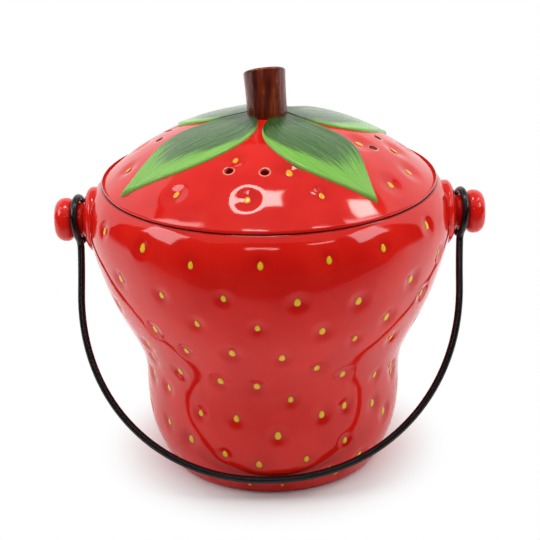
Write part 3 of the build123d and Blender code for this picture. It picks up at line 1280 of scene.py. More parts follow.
class Skin:
    """A glazed shell of revolution with seeds in dimples, which stands for one node of the model."""

    around_count = 420
    spacing = 0.0016
    edge_spacing = 0.001
    seat_spacing = 0.0015
    ring_spacing = 0.002
    recess_spacing = 0.006
    floor_spacing = 0.008
    innermost = 0.004
    dimple_spread = DIMPLES.spread

    def __init__(self, name: str, node: str, body: str, glazes: "Glazes") -> None:
        """Name the skin and what it replaces.

        Args:
            name: The piece's name.
            node: The node that it stands for.
            body: The body that it rides on.
            glazes: The finished materials.
        """
        self.name, self.node, self.body, self.glazes = name, node, body, glazes

    def runs(self) -> list[Run]:
        """Return the profile's runs in order."""
        raise NotImplementedError

    def sites(self) -> list[Site]:
        """Return where the seeds sit."""
        raise NotImplementedError

    def build(self) -> bpy.types.Object:
        """Make the skin, press its dimples, set its seeds and put it on its body."""
        runs = self.runs()
        profile = np.concatenate([run.points for run in runs])
        coats = np.concatenate([[run.coat.value] * len(run.points) for run in runs])
        shown = np.concatenate([np.broadcast_to(run.shown, len(run.points)) for run in runs])
        mesh = turned_mesh(self.name, profile, self.around_count)
        self._label(mesh, profile, coats, shown)
        skin = new_piece(self.name, mesh)
        sites = site_cloud(self.name + "_sites", self.sites())
        seed = seed_shape()
        Dimpling().press(skin, sites, self.dimple_spread)
        self.pierce(skin)
        Seeding().sow(skin, sites, seed, self.glazes)
        for helper in (sites, seed):
            bpy.data.objects.remove(helper, do_unlink=True)
        return settle(skin, self.node, self.body)

    def pierce(self, skin: bpy.types.Object) -> None:
        """Cut what holes the skin has. A plain skin has none."""

    def calm(self, places: np.ndarray) -> np.ndarray:
        """Return how far each place may be pressed in, from 0 to 1. A plain skin is free all over."""
        return np.ones(len(places))

    def _label(self, mesh: bpy.types.Mesh, profile: np.ndarray, coats: np.ndarray,
               shown: np.ndarray) -> None:
        """Store on the mesh which coat each face takes and how far a dimple shows at each point.

        Args:
            mesh: The turned mesh. Its first and last rows are single points.
            profile: The profile that it was turned from.
            coats: Coat of each row.
            shown: Share of a dimple at each row.
        """
        width = self.around_count
        rows = np.concatenate([[0], np.repeat(np.arange(1, len(profile) - 1), width), [len(profile) - 1]])
        places = np.empty(3 * len(mesh.vertices))
        mesh.vertices.foreach_get("co", places)
        attribute(mesh, "shown", "FLOAT", shown[rows] * self.calm(places.reshape(-1, 3)))
        face_rows = np.repeat(np.arange(len(profile) - 1), width)
        attribute(mesh, "coat", "INT", coats[face_rows], "FACE")


class CrockSkin(Skin):
    """The crock: glazed outside, white lining, bare clay on the foot ring and the rim's seat.

    The glaze is wiped off the first few points of the heel, the round at the foot's outside.
    """

    wiped = 3
    slope_reach = 0.002

    def outside(self) -> np.ndarray:
        """Return the crock's side from the foot to the seam."""
        flare, shoulder = math.radians(CROCK.foot_flare), math.radians(CROCK.shoulder)
        return smooth_curve(CROCK.side, (math.sin(flare), math.cos(flare)),
                            (-math.sin(shoulder), math.cos(shoulder)), self.spacing)

    def inside(self) -> np.ndarray:
        """Return the crock's inner wall from the floor to the mouth."""
        stations = [(radius - CROCK.wall, height) for radius, height in CROCK.side[1:-1]]
        bottom = (CROCK.side[0][0] - CROCK.wall / 2, CROCK.floor_height)
        top = (CROCK.mouth_radius, CROCK.seam_height - CROCK.wall / 2)
        return smooth_curve([bottom, *stations, top], CROCK.inside_start, CROCK.inside_end,
                            CROCK.inside_spacing)

    def calm(self, places: np.ndarray) -> np.ndarray:
        """Return 0 where a lug sits on the crock and 1 away from it."""
        beside = np.hypot(places[:, 1], places[:, 2] - LUG.height)
        clear = np.clip((beside - LUG.boss_radius - LUG.calm_gap) / LUG.calm_width, 0, 1)
        return np.where(np.abs(places[:, 0]) > LUG.calm_from, clear, 1.0)

    def runs(self) -> list[Run]:
        """Return the profile's runs, from the recess under the foot to the inside floor."""
        high, floor, recess = CROCK.seam_height, CROCK.floor_height, CROCK.foot_recess
        foot, mouth, flat = CROCK.side[0][0], CROCK.mouth_radius, CROCK.floor_flat
        flare, shoulder = math.radians(CROCK.foot_flare), math.radians(CROCK.shoulder)
        ring_inner = foot - CROCK.foot_round - CROCK.foot_ring
        recess_x = ring_inner - recess * math.tan(math.radians(CROCK.recess_draft))
        foot_x = foot + CROCK.foot_round * (math.tan(flare) - 1 / math.cos(flare))
        seam_x = SEAM_RADIUS + CROCK.seam_round * (math.sin(shoulder) - 1) / math.cos(shoulder)
        heel = arc((foot_x, CROCK.foot_round), CROCK.foot_round, -90, -CROCK.foot_flare, 8)
        side = trimmed(self.outside(), CROCK.foot_round_top, high - CROCK.seam_trim)
        near, far = DIMPLES.fade
        shown = np.interp(side[:, 1], [near, far, high - far, high - near], [0, 1, 1, 0])
        edge = arc((seam_x, high - CROCK.seam_round), CROCK.seam_round, CROCK.shoulder, 90, 6)
        wall = trimmed(self.inside(), CROCK.floor_round_top, high)[::-1]
        corner = arc((flat, floor + CROCK.floor_round), CROCK.floor_round, -CROCK.floor_round_lean, -90, 8)
        return [
            Run(np.array([[0.0, recess]]), Coat.LINING),
            Run(straight((self.innermost, recess), (recess_x, recess), self.recess_spacing), Coat.LINING),
            Run(straight((recess_x, recess), (ring_inner, 0.0), self.edge_spacing), Coat.LINING),
            Run(straight((ring_inner, 0.0), (foot_x, 0.0), self.ring_spacing), Coat.CLAY),
            Run(heel[:self.wiped], Coat.CLAY),
            Run(heel[self.wiped:], Coat.GLAZE),
            Run(side, Coat.GLAZE, shown),
            Run(edge, Coat.GLAZE),
            Run(straight((seam_x - CROCK.seat_step, high), (mouth, high), self.seat_spacing), Coat.CLAY),
            Run(straight((mouth, high), (mouth, wall[0, 1]), self.edge_spacing), Coat.LINING),
            Run(wall, Coat.LINING),
            Run(corner, Coat.LINING),
            Run(straight((flat - self.innermost, floor), (self.innermost, floor), self.floor_spacing),
                Coat.LINING),
            Run(np.array([[0.0, floor]]), Coat.LINING),
        ]

    def sites(self) -> list[Site]:
        """Return the seeds of every row, with the rows carried on round the back."""
        curve = self.outside()
        made = []
        for index, row in enumerate(CROCK_SEED_ROWS):
            last = row[-1][0]
            level = sum(height for _, height in row) / len(row)
            unseen_turn = 360 - (last - row[0][0])
            count = round(unseen_turn / SCATTER.spacing_turn) - 1
            height_stray = SCATTER.height_stray + SCATTER.row_stray * index
            unseen = [(last + (i + 1) * unseen_turn / (count + 1)
                       + SCATTER.turn_stray * SCATTER.stray(SCATTER.turn_beat, i, index),
                       level + height_stray * SCATTER.stray(SCATTER.height_beat, i, index))
                      for i in range(count)]
            for turn, height in (*row, *unseen):
                made.append(self._site(curve, turn, max(height, SCATTER.lowest) / 1000,
                                       SCATTER.size_at(SCATTER.size_beat, turn, index)))
        clear = LUG.boss_radius + DIMPLES.lug_clearance
        return [site for site in made if math.hypot(site.point[1], site.point[2] - LUG.height) > clear]

    def _site(self, curve: np.ndarray, turn: float, height: float, size: float) -> Site:
        """Place a seed on the crock's side.

        Args:
            curve: Radius and height along the side.
            turn: Degrees round from the front.
            height: Height of the seed.
            size: Its share of the usual size.

        Returns:
            The site.
        """
        reach = self.slope_reach
        lower, radius, upper = (float(np.interp(level, curve[:, 1], curve[:, 0]))
                                for level in (height - reach, height, height + reach))
        slope = math.hypot(upper - lower, 2 * reach)
        out, up = (upper - lower) / slope, 2 * reach / slope
        x, y = around(1.0, turn)
        return Site((radius * x, radius * y, height), (up * x, up * y, -out), (out * x, out * y, up), size)


class LidSkin(Skin):
    """The lid: glazed dome, white under it, bare clay where it sits on the crock."""

    dimple_spread = DIMPLES.lid_spread

    def runs(self) -> list[Run]:
        """Return the profile's runs, from under the dome out to the seam and back over the top."""
        low, high = CROCK.seam_height - LID.flange_drop, CROCK.seam_height
        flange = CROCK.mouth_radius - LID.mouth_clearance
        bore = flange - LID.flange_wall
        ledge, ledge_height = bore - LID.ledge, CROCK.seam_height + LID.ledge_rise
        inner, round_ = DOME_RADIUS - LID.wall, CROCK.seam_round
        ledge_turn = math.degrees(math.acos(ledge / inner))
        edge_turn = math.degrees(math.acos(SEAM_RADIUS / DOME_RADIUS))
        dome = arc((0.0, DOME_MIDDLE), DOME_RADIUS, edge_turn + LID.edge_trim, 90, 64)
        near, far = DIMPLES.fade
        shown = np.interp(dome[:, 0], [*LID.plain_middle, SEAM_RADIUS - far, SEAM_RADIUS - near],
                          [0, 1, 1, 0])
        seat_x = SEAM_RADIUS - LID.edge_inset - round_ * LID.seat_end
        edge_x = SEAM_RADIUS - LID.edge_inset - round_ * LID.edge_middle
        stops = [(ledge, ledge_height + LID.ledge_depth), (ledge, ledge_height), (bore, ledge_height),
                 (bore, low), (flange, low), (flange, high)]
        return [
            Run(arc((0.0, DOME_MIDDLE), inner, 90, ledge_turn, 24), Coat.LINING),
            *(Run(straight(*ends, self.seat_spacing), Coat.LINING) for ends in zip(stops, stops[1:])),
            Run(straight((flange, high), (seat_x, high), self.seat_spacing), Coat.CLAY),
            Run(arc((edge_x, high + round_), round_, -90, edge_turn, 10), Coat.GLAZE),
            Run(dome, Coat.GLAZE, shown),
        ]

    @staticmethod
    def _site(turn: float, distance: float, size: float = 1.0) -> Site:
        """Place a seed or a vent on the dome, with its length pointing at the stem.

        Args:
            turn: Degrees round from the front.
            distance: Distance from the stem, in plan.
            size: Its share of the usual size.

        Returns:
            The site.
        """
        x, y = around(1.0, turn)
        out = distance / DOME_RADIUS
        up = math.sqrt(1 - out**2)
        return Site((distance * x, distance * y, DOME_MIDDLE + DOME_RADIUS * up), (out * x, out * y, up),
                    (-up * x, -up * y, out), size)

    def sites(self) -> list[Site]:
        """Return the lid's seeds."""
        return [self._site(turn, distance / 1000, SCATTER.size_at(SCATTER.lid_size_beat, turn))
                for turn, distance in LID_SEEDS]

    def pierce(self, skin: bpy.types.Object) -> None:
        """Drill the vents square to the dome."""
        sites = [self._site(VENTS.layout_turn + pair * 360 / VENTS.pairs + side * VENTS.pair_turn / 2,
                            VENTS.circle)
                 for pair in range(VENTS.pairs) for side in (-1, 1)]
        cloud = site_cloud("vent_sites", sites)
        Drilling().drill(skin, cloud)
        bpy.data.objects.remove(cloud, do_unlink=True)


def site_cloud(name: str, sites: Sequence[Site]) -> bpy.types.Object:
    """Make a helper object with a point for each site.

    Args:
        name: The helper's name.
        sites: The sites.

    Returns:
        An object whose points carry their turn and size.
    """
    mesh = bpy.data.meshes.new(name)
    mesh.from_pydata([site.point for site in sites], [], [])
    turns = []
    for site in sites:
        rise, normal = Vector(site.rise), Vector(site.normal)
        aside = rise.cross(normal)
        turns.append(Matrix((aside, rise, normal)).transposed().to_euler("XYZ"))
    attribute(mesh, "turned", "FLOAT_VECTOR", np.array(turns))
    attribute(mesh, "outward", "FLOAT_VECTOR", np.array([site.normal for site in sites]))
    attribute(mesh, "size", "FLOAT", np.array([site.size for site in sites]))
    return new_piece(name, mesh)


def seed_shape() -> bpy.types.Object:
    """Make one seed: a low drop with its point up, lying on the plane of X and Y."""
    columns, rings = 16, 11
    turns = np.linspace(0, 2 * math.pi, columns, endpoint=False)
    rows, cores = [], []
    for lift in np.linspace(-1, 1, rings):
        reach = math.sqrt(max(0.0, 1 - lift * lift))
        along = np.cos(turns) * reach
        across = -np.sin(turns) * reach * (1 - DIMPLES.seed_point * along)
        height = np.full(columns, (1 + lift) / 2 * DIMPLES.seed_height)
        rows.append(np.stack([across * DIMPLES.seed_width / 2, along * DIMPLES.seed_length / 2, height], 1))
        cores.append(1 - reach)
    mesh = grid_mesh("seed", np.array(rows), True, (True, True))
    kept = [cores[0], *np.repeat(cores[1:-1], columns), cores[-1]]
    attribute(mesh, "seed_core", "FLOAT", np.array(kept))
    return new_piece("seed", mesh)


class Dimpling:
    """Presses a soft hollow into a skin round each site."""

    def __init__(self) -> None:
        """Build the tree."""
        tree = Growth("dimples", {"Sites": "NodeSocketObject", "Depth": "NodeSocketFloat",
                                  "Spread": "NodeSocketFloat", "Swell": "NodeSocketFloat"})
        sites = tree.shape_of("Sites")
        place = tree.node("GeometryNodeInputPosition").outputs[0]
        index = tree.node("GeometryNodeSampleNearest", {}, {"Geometry": sites}).outputs[0]
        site = tree.sampled(sites, index, "FLOAT_VECTOR", place)
        size = Signal(tree, tree.sampled(sites, index, "FLOAT", tree.named("size", "FLOAT")))
        away = Signal(tree, tree.node("ShaderNodeVectorMath", {"operation": "DISTANCE"},
                                      {0: place, 1: site}).outputs["Value"])
        share = (1.0 - (away / (tree.number("Spread") * size)) ** 2.0).clamp()
        shown = tree.reading("shown")
        pit = share * share * shown
        swell = Signal(tree, tree.node("ShaderNodeTexNoise", {}, {"Scale": DIMPLES.swell_cells,
                                                                  "Detail": 1.0}).outputs[0])
        sink = pit * size * tree.number("Depth") + swell * tree.number("Swell") * shown
        normal = tree.node("GeometryNodeInputNormal").outputs[0]
        stored = tree.store(tree.given("Geometry"), "dimple", "FLOAT", pit)
        moved = tree.node("GeometryNodeSetPosition", {},
                          {"Geometry": stored, "Offset": tree.scaled(normal, sink * -1.0)})
        tree.close(moved.outputs[0])
        self.tree = tree

    def press(self, skin: bpy.types.Object, sites: bpy.types.Object, spread: float) -> None:
        """Run the tree on a skin, with hollows of a given radius."""
        self.tree.run(skin, {"Sites": sites, "Depth": DIMPLES.depth, "Spread": spread,
                             "Swell": DIMPLES.swell})


class Drilling:
    """Drills a round hole through a skin at each site."""

    def __init__(self) -> None:
        """Build the tree."""
        tree = Growth("vents", {"Sites": "NodeSocketObject", "Radius": "NodeSocketFloat",
                                "Sides": "NodeSocketInt", "Depth": "NodeSocketFloat"})
        drill = tree.node("GeometryNodeMeshCylinder", {}, {"Vertices": tree.given("Sides"),
                                                           "Radius": tree.given("Radius"),
                                                           "Depth": tree.given("Depth")}).outputs["Mesh"]
        drills = tree.copies(tree.shape_of("Sites"), drill)
        solid = tree.node("GeometryNodeRealizeInstances", {}, {0: drills}).outputs[0]
        cut = tree.node("GeometryNodeMeshBoolean", {"operation": "DIFFERENCE", "solver": "EXACT"},
                        {"Mesh 1": tree.given("Geometry"), "Mesh 2": solid}).outputs[0]
        bend = tree.node("GeometryNodeInputMeshEdgeAngle").outputs["Unsigned Angle"]
        sharp = tree.compare("GREATER_THAN", bend, math.radians(VENTS.sharp_turn))
        smooth = tree.shaded(cut, "FACE", True)
        tree.close(tree.shaded(smooth, "EDGE", False, sharp))
        self.tree = tree

    def drill(self, skin: bpy.types.Object, sites: bpy.types.Object) -> None:
        """Run the tree on a skin."""
        self.tree.run(skin, {"Sites": sites, "Radius": VENTS.radius, "Sides": VENTS.sides,
                             "Depth": 3 * LID.wall})


class Seeding:
    """Sets a seed in each dimple and paints the skin's coats."""

    def __init__(self) -> None:
        """Build the tree."""
        tree = Growth("seeds", {"Sites": "NodeSocketObject", "Seed": "NodeSocketObject",
                                "Depth": "NodeSocketFloat", "Glaze": "NodeSocketMaterial",
                                "Lining": "NodeSocketMaterial", "Clay": "NodeSocketMaterial",
                                "Seed glaze": "NodeSocketMaterial"})
        size = tree.reading("size")
        down = tree.scaled(tree.named("outward", "FLOAT_VECTOR"), size * tree.number("Depth") * -1.0)
        sunk = tree.node("GeometryNodeSetPosition", {},
                         {"Geometry": tree.shape_of("Sites"), "Offset": down}).outputs[0]
        sown = tree.copies(sunk, tree.shape_of("Seed"), tree.joined(size, size, 1.0))
        seeds = tree.paint_all(sown, [("Seed glaze", None)])
        coat = tree.reading("coat", "INT")
        skin = tree.paint_all(tree.given("Geometry"), [
            ("Glaze", None),
            ("Lining", tree.compare("EQUAL", coat, float(Coat.LINING.value))),
            ("Clay", tree.compare("EQUAL", coat, float(Coat.CLAY.value))),
        ])
        whole = tree.node("GeometryNodeJoinGeometry")
        tree.feed(whole.inputs[0], seeds)
        tree.feed(whole.inputs[0], skin)
        tree.close(whole.outputs[0])
        self.tree = tree

    def sow(self, skin: bpy.types.Object, sites: bpy.types.Object, seed: bpy.types.Object,
            glazes: "Glazes") -> None:
        """Run the tree on a skin.

        Args:
            skin: The skin.
            sites: Where the seeds go.
            seed: One seed.
            glazes: The finished materials.
        """
        self.tree.run(skin, {"Sites": sites, "Seed": seed, "Depth": DIMPLES.depth + DIMPLES.seed_sunk,
                             "Glaze": glazes.red, "Lining": glazes.white, "Clay": glazes.clay,
                             "Seed glaze": glazes.seed})


# ---- Leaves ----


class Leaf:
    """A leaf in relief on the lid, with a rolled edge, a shallow dish and a raised tip."""

    rows = 110
    columns = 56
    bulge_half = ((0.0, 0.10), (0.08, 0.60), (0.22, 0.90), (0.40, 1.0), (0.56, 0.94), (0.76, 0.66),
                  (0.90, 0.36))
    short_half = ((0.0, 0.45), (0.22, 0.60), (0.46, 1.0), (0.60, 0.93), (0.76, 0.45), (0.90, 0.0))

    def __init__(self, size: LeafSize, number: int, glaze: bpy.types.Material) -> None:
        """Keep the leaf's sizes.

        Args:
            size: Its sizes.
            number: Its number among the leaves, so that no two are brushed alike.
            glaze: Its material.
        """
        self.size, self.number, self.glaze = size, number, glaze

    def build(self) -> bpy.types.Object:
        """Make the leaf and lay it on the lid."""
        along, across, plan = self._plan()
        away = self._edge_distance(plan)
        top = self._laid(plan, self._lift(away, along))
        under = self._laid(plan, np.full(away.shape, -self.size.sunk))
        rim = np.clip(1 - away / self.size.rim_width, 0, 1)
        mark = np.stack([along, across, np.full(along.shape, float(self.number)), rim], 2)
        rings = np.concatenate([top, under[:, ::-1]], axis=1)
        marks = np.concatenate([mark, mark[:, ::-1]], axis=1)
        if self.size.full_side > 0:
            rings, marks = rings[:, ::-1], marks[:, ::-1]
        mesh = grid_mesh(self.size.name, rings, True, (True, True))
        kept = np.concatenate([marks[0, :1], marks[1:-1].reshape(-1, 4), marks[-1, :1]])
        attribute(mesh, "leaf_place", "FLOAT_VECTOR", kept[:, :3])
        attribute(mesh, "leaf_rim", "FLOAT", kept[:, 3])
        mesh.materials.append(self.glaze)
        return settle(new_piece(self.size.name + "_brushed", mesh), self.size.name, "lid")

    def _plan(self) -> tuple[np.ndarray, np.ndarray, np.ndarray]:
        """Set out the grid that the leaf is made from.

        Returns:
            How far along and across each point lies, and its place in the leaf's own plan.
        """
        size = self.size
        span = size.reach - size.start
        tip = (size.reach, size.tip_curl * size.full_side)
        bulge, short = (
            smooth_curve([*[(size.start + s * span, w * width * size.full_side) for s, w in half], tip],
                         None, None, size.outline_spacing)
            for half, width in ((self.bulge_half, size.full_width), (self.short_half, -size.short_width)))
        share = np.sin(np.linspace(0, math.pi / 2, self.rows))
        end = size.reach - size.tip_cut * size.tip_round
        places = size.start + share * (end - size.start)
        one = np.interp(places, bulge[:, 0], bulge[:, 1])
        other = np.interp(places, short[:, 0], short[:, 1])
        rounding = np.clip((end - places) / size.tip_round, 0, 1)
        half_width = (one - other) / 2 * np.sqrt(1 - (1 - rounding) ** 2)
        across = np.sin(np.linspace(-math.pi / 2, math.pi / 2, self.columns))
        middle = (one + other) / 2
        plan = np.stack([np.repeat(places[:, None], self.columns, 1),
                         middle[:, None] + half_width[:, None] * across], axis=2)
        return np.repeat(share[:, None], self.columns, 1), np.repeat(across[None], self.rows, 0), plan

    @staticmethod
    def _edge_distance(plan: np.ndarray) -> np.ndarray:
        """Return how far each point of the plan is from the leaf's edge."""
        edge = np.concatenate([plan[:, 0], plan[:, -1]])
        flat = plan.reshape(-1, 2)
        gaps = np.hypot(flat[:, :1] - edge[:, 0], flat[:, 1:] - edge[:, 1])
        return gaps.min(axis=1).reshape(plan.shape[:2])

    def _lift(self, away: np.ndarray, along: np.ndarray) -> np.ndarray:
        """Return how far the leaf stands above the dome.

        Args:
            away: Distance from the edge.
            along: Share of the way from the stem to the tip.

        Returns:
            The height of each point above the dome.
        """
        size = self.size
        roll = np.sqrt(1 - (1 - np.clip(away / size.edge_round, 0, 1)) ** 2)
        dip = eased(away, size.edge_round, size.edge_round + size.dish_width)
        tip = eased(along, *size.tip_span)
        return (size.edge_low + (size.relief - size.edge_low) * roll - size.dish * dip
                + size.tip_lift * roll * tip)

    def _laid(self, plan: np.ndarray, lift: np.ndarray) -> np.ndarray:
        """Lay the plan on the dome.

        Args:
            plan: Points in the leaf's own plan.
            lift: Height of each one above the dome.

        Returns:
            The points in space.
        """
        turn = math.radians(self.size.turn)
        x = plan[..., 0] * math.sin(turn) + plan[..., 1] * math.cos(turn)
        y = -plan[..., 0] * math.cos(turn) + plan[..., 1] * math.sin(turn)
        height = DOME_MIDDLE + np.sqrt((DOME_RADIUS + lift) ** 2 - x**2 - y**2)
        return np.stack([x, y, height], axis=2)


# ---- Lugs and bail ----


class Lug:
    """A lug that carries the bail: a low boss on the crock, a neck and a rounded button."""

    def __init__(self, node: str, side: int, glaze: bpy.types.Material) -> None:
        """Keep what the lug stands for and where.

        Args:
            node: The node that it stands for.
            side: +1 for the right of the crock and -1 for the left.
            glaze: Its material.
        """
        self.node, self.side, self.glaze = node, side, glaze

    def build(self) -> bpy.types.Object:
        """Turn the lug and put it on the crock."""
        mesh = turned_mesh(self.node + "_glazed", self._profile(), LUG.sides)
        places = np.empty(3 * len(mesh.vertices))
        mesh.vertices.foreach_get("co", places)
        one, other, out = places.reshape(-1, 3).T
        laid = np.stack([self.side * out, self.side * one, LUG.height + other], axis=1)
        mesh.vertices.foreach_set("co", laid.ravel())
        mesh.materials.append(self.glaze)
        return settle(new_piece(self.node + "_glazed", mesh), self.node, "crock")

    @staticmethod
    def _profile() -> np.ndarray:
        """Return the lug's radius and distance out, from its root in the crock's wall to its end."""
        face = smooth_curve(LUG.boss_face, LUG.face_lean, LUG.face_lean, LUG.face_spacing)
        lip_centre = (LUG.button_radius - LUG.lip_round, LUG.button_start + LUG.lip_round)
        lip_turn = -math.degrees(math.acos((LUG.neck_radius - lip_centre[0]) / LUG.lip_round))
        lip = arc(lip_centre, LUG.lip_round, lip_turn, 0.0, 12)
        end_centre = (LUG.button_radius - LUG.end_round, LUG.button_end - LUG.end_round)
        end = arc(end_centre, LUG.end_round, 0.0, 90.0, 16)
        return np.concatenate([
            [(0.0, LUG.root_middle)],
            straight((LUG.core, LUG.root_middle), (LUG.boss_radius, LUG.root), LUG.root_spacing),
            straight((LUG.boss_radius, LUG.root), LUG.boss_face[0], LUG.side_spacing),
            face[:-1],
            straight(LUG.boss_face[-1], tuple(lip[0]), LUG.neck_spacing),
            lip,
            end,
            straight((end_centre[0] - LUG.end_core, LUG.button_end), (LUG.end_core, LUG.button_end),
                     LUG.end_spacing),
            [(0.0, LUG.button_end)],
        ])


class Wiring:
    """Draws a round wire along a path."""

    def __init__(self) -> None:
        """Build the tree."""
        tree = Growth("wire", {"Radius": "NodeSocketFloat", "Sides": "NodeSocketInt",
                               "Coat": "NodeSocketMaterial"})
        path = tree.node("GeometryNodeMeshToCurve", {}, {"Mesh": tree.given("Geometry")}).outputs[0]
        length = tree.node("GeometryNodeSplineParameter").outputs["Length"]
        measured = tree.store(path, "run", "FLOAT", length)
        ring = tree.node("GeometryNodeCurvePrimitiveCircle", {"mode": "RADIUS"},
                         {"Resolution": tree.given("Sides"), "Radius": tree.given("Radius")}).outputs[0]
        place = tree.node("GeometryNodeInputPosition").outputs[0]
        marked = tree.store(ring, "ring", "FLOAT_VECTOR", tree.scaled(place, 1.0 / tree.number("Radius")))
        tube = tree.node("GeometryNodeCurveToMesh", {}, {"Curve": measured, "Profile Curve": marked,
                                                         "Fill Caps": True}).outputs[0]
        one, other, _ = tree.split(tree.named("ring", "FLOAT_VECTOR"))
        told = tree.store(tube, "wire_place", "FLOAT_VECTOR", tree.joined(one, other, tree.reading("run")))
        smooth = tree.shaded(told, "FACE", True)
        tree.close(tree.paint_all(smooth, [("Coat", None)]))
        self.tree = tree

    def draw(self, path: bpy.types.Object, coat: bpy.types.Material) -> None:
        """Run the tree on a path."""
        self.tree.run(path, {"Radius": BAIL.wire, "Sides": BAIL.sides, "Coat": coat})


class Bail:
    """The bail: one length of coated wire with an eye bent round each lug's neck."""

    def __init__(self, coat: bpy.types.Material) -> None:
        """Keep the wire's coating."""
        self.coat = coat

    def build(self) -> bpy.types.Object:
        """Bend the wire and hang it on the lugs."""
        points = self._path()
        mesh = bpy.data.meshes.new("bail")
        mesh.from_pydata(points, [(i, i + 1) for i in range(len(points) - 1)], [])
        bail = new_piece("bail_coated", mesh)
        Wiring().draw(bail, self.coat)
        return settle(bail, "bail_wire", "bail")

    def _path(self) -> list[Xyz]:
        """Return the wire's centre line, from one eye along the bow to the other."""
        drop_height = BAIL.pivot_height - BAIL.hang_height
        drop = math.hypot(BAIL.hang_reach, drop_height)
        bend_start = math.sqrt(BAIL.eye_radius**2 + 2 * BAIL.eye_radius * BAIL.bend_radius)
        bend_turn = math.degrees(math.atan2(BAIL.bend_radius, bend_start))
        leg_end = drop - BAIL.eye_x
        eye = arc((0.0, 0.0), BAIL.eye_radius, 360 - BAIL.gap_turn, bend_turn, BAIL.eye_steps)
        bend = arc((bend_start, BAIL.bend_radius), BAIL.bend_radius, 180 + bend_turn, 270,
                   BAIL.bend_steps)[1:]
        leg = straight((bend_start, 0.0), (leg_end, 0.0), BAIL.leg_spacing)[1:]
        side = [(BAIL.eye_x + BAIL.eye_slant * forward / BAIL.eye_radius
                 - BAIL.pinch * math.sin(math.pi / 2 * min(1.0, max(0.0, along) / leg_end)), along, forward)
                for along, forward in np.concatenate([eye, bend, leg])]
        turns = np.linspace(0, math.pi, BAIL.bow_steps + 1)
        bow = [((BAIL.eye_x - BAIL.pinch) * math.copysign(abs(math.cos(t)) ** BAIL.bow_power, math.cos(t)),
                leg_end + BAIL.eye_x * abs(math.sin(t)) ** BAIL.bow_power, 0.0) for t in turns]
        other = [(-x, along, forward) for x, along, forward in reversed(side)]
        lean = math.atan2(BAIL.hang_reach, drop_height)
        return [(float(x - BAIL.sway * max(0.0, along - bend_start) / (drop - bend_start)),
                 float(-along * math.sin(lean) - forward * math.cos(lean)),
                 float(BAIL.pivot_height - along * math.cos(lean) + forward * math.sin(lean)))
                for x, along, forward in (*side, *bow, *other)]


# ---- Finishes in use ----


@dataclass(frozen=True)
class Glazes:
    """The finished materials that the pieces share."""

    red: bpy.types.Material
    seed: bpy.types.Material
    white: bpy.types.Material
    clay: bpy.types.Material
    green: bpy.types.Material
    brown: bpy.types.Material
    wire: bpy.types.Material
    felt: bpy.types.Material
    plastic: bpy.types.Material

    @classmethod
    def mixed(cls) -> "Glazes":
        """Make every material of the crock."""
        return cls(RedGlaze().material(VENTS, CROCK.seam_height), SeedGlaze().material(CROCK.seam_height),
                   WhiteGlaze().material(), BareClay().material(), LeafGlaze().material(),
                   StemGlaze().material(), WireCoat().material(), Felt().material(),
                   MouldedPlastic().material())


def dress(node: str, finish: bpy.types.Material) -> None:
    """Give a carried-over node its material.

    Args:
        node: The node's name.
        finish: The material.
    """
    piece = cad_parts[node]
    if not piece.material_slots:
        piece.data.materials.append(finish)
    for slot in piece.material_slots:
        slot.material = finish
    log.info("%s wears %s", node, finish.name)


# ---- Studio ----


@dataclass(frozen=True)
class Softbox:
    """A soft lamp, placed by its direction from the crock.

    Its turn, rise and tilt are in degrees, its distance, width and height in metres and its power in
    watts. Its width is level, or tilted from level, and lies along X on a lamp that is overhead.
    """

    name: str
    turn: float
    rise: float
    distance: float
    width: float
    height: float
    power: float
    tilt: float = 0.0
    mirrored: bool = True
    colour: Rgb = (1.0, 1.0, 1.0)
    aim: Xyz = (0.0, 0.0, 0.15)
    overhead: float = 75.0

    def build(self) -> bpy.types.Object:
        """Hang the lamp."""
        lamp = bpy.data.lights.new(self.name, "AREA")
        lamp.shape, lamp.size, lamp.size_y = "RECTANGLE", self.width, self.height
        lamp.energy, lamp.color = self.power, self.colour
        made = new_piece(self.name, lamp)
        flat = self.distance * math.cos(math.radians(self.rise))
        x, y = around(flat, self.turn)
        outward = Vector((x, y, self.distance * math.sin(math.radians(self.rise))))
        along = Vector((1.0, 0.0, 0.0)) if self.rise > self.overhead else Vector((-y, x, 0.0))
        away = outward.normalized()
        level = (along - along.dot(away) * away).normalized()
        tilt = math.radians(self.tilt)
        width = level * math.cos(tilt) + away.cross(level) * math.sin(tilt)
        turn = Matrix((width, away.cross(width), away)).transposed().to_4x4()
        made.matrix_world = Matrix.Translation(Vector(self.aim) + outward) @ turn
        made.visible_glossy = self.mirrored
        return made


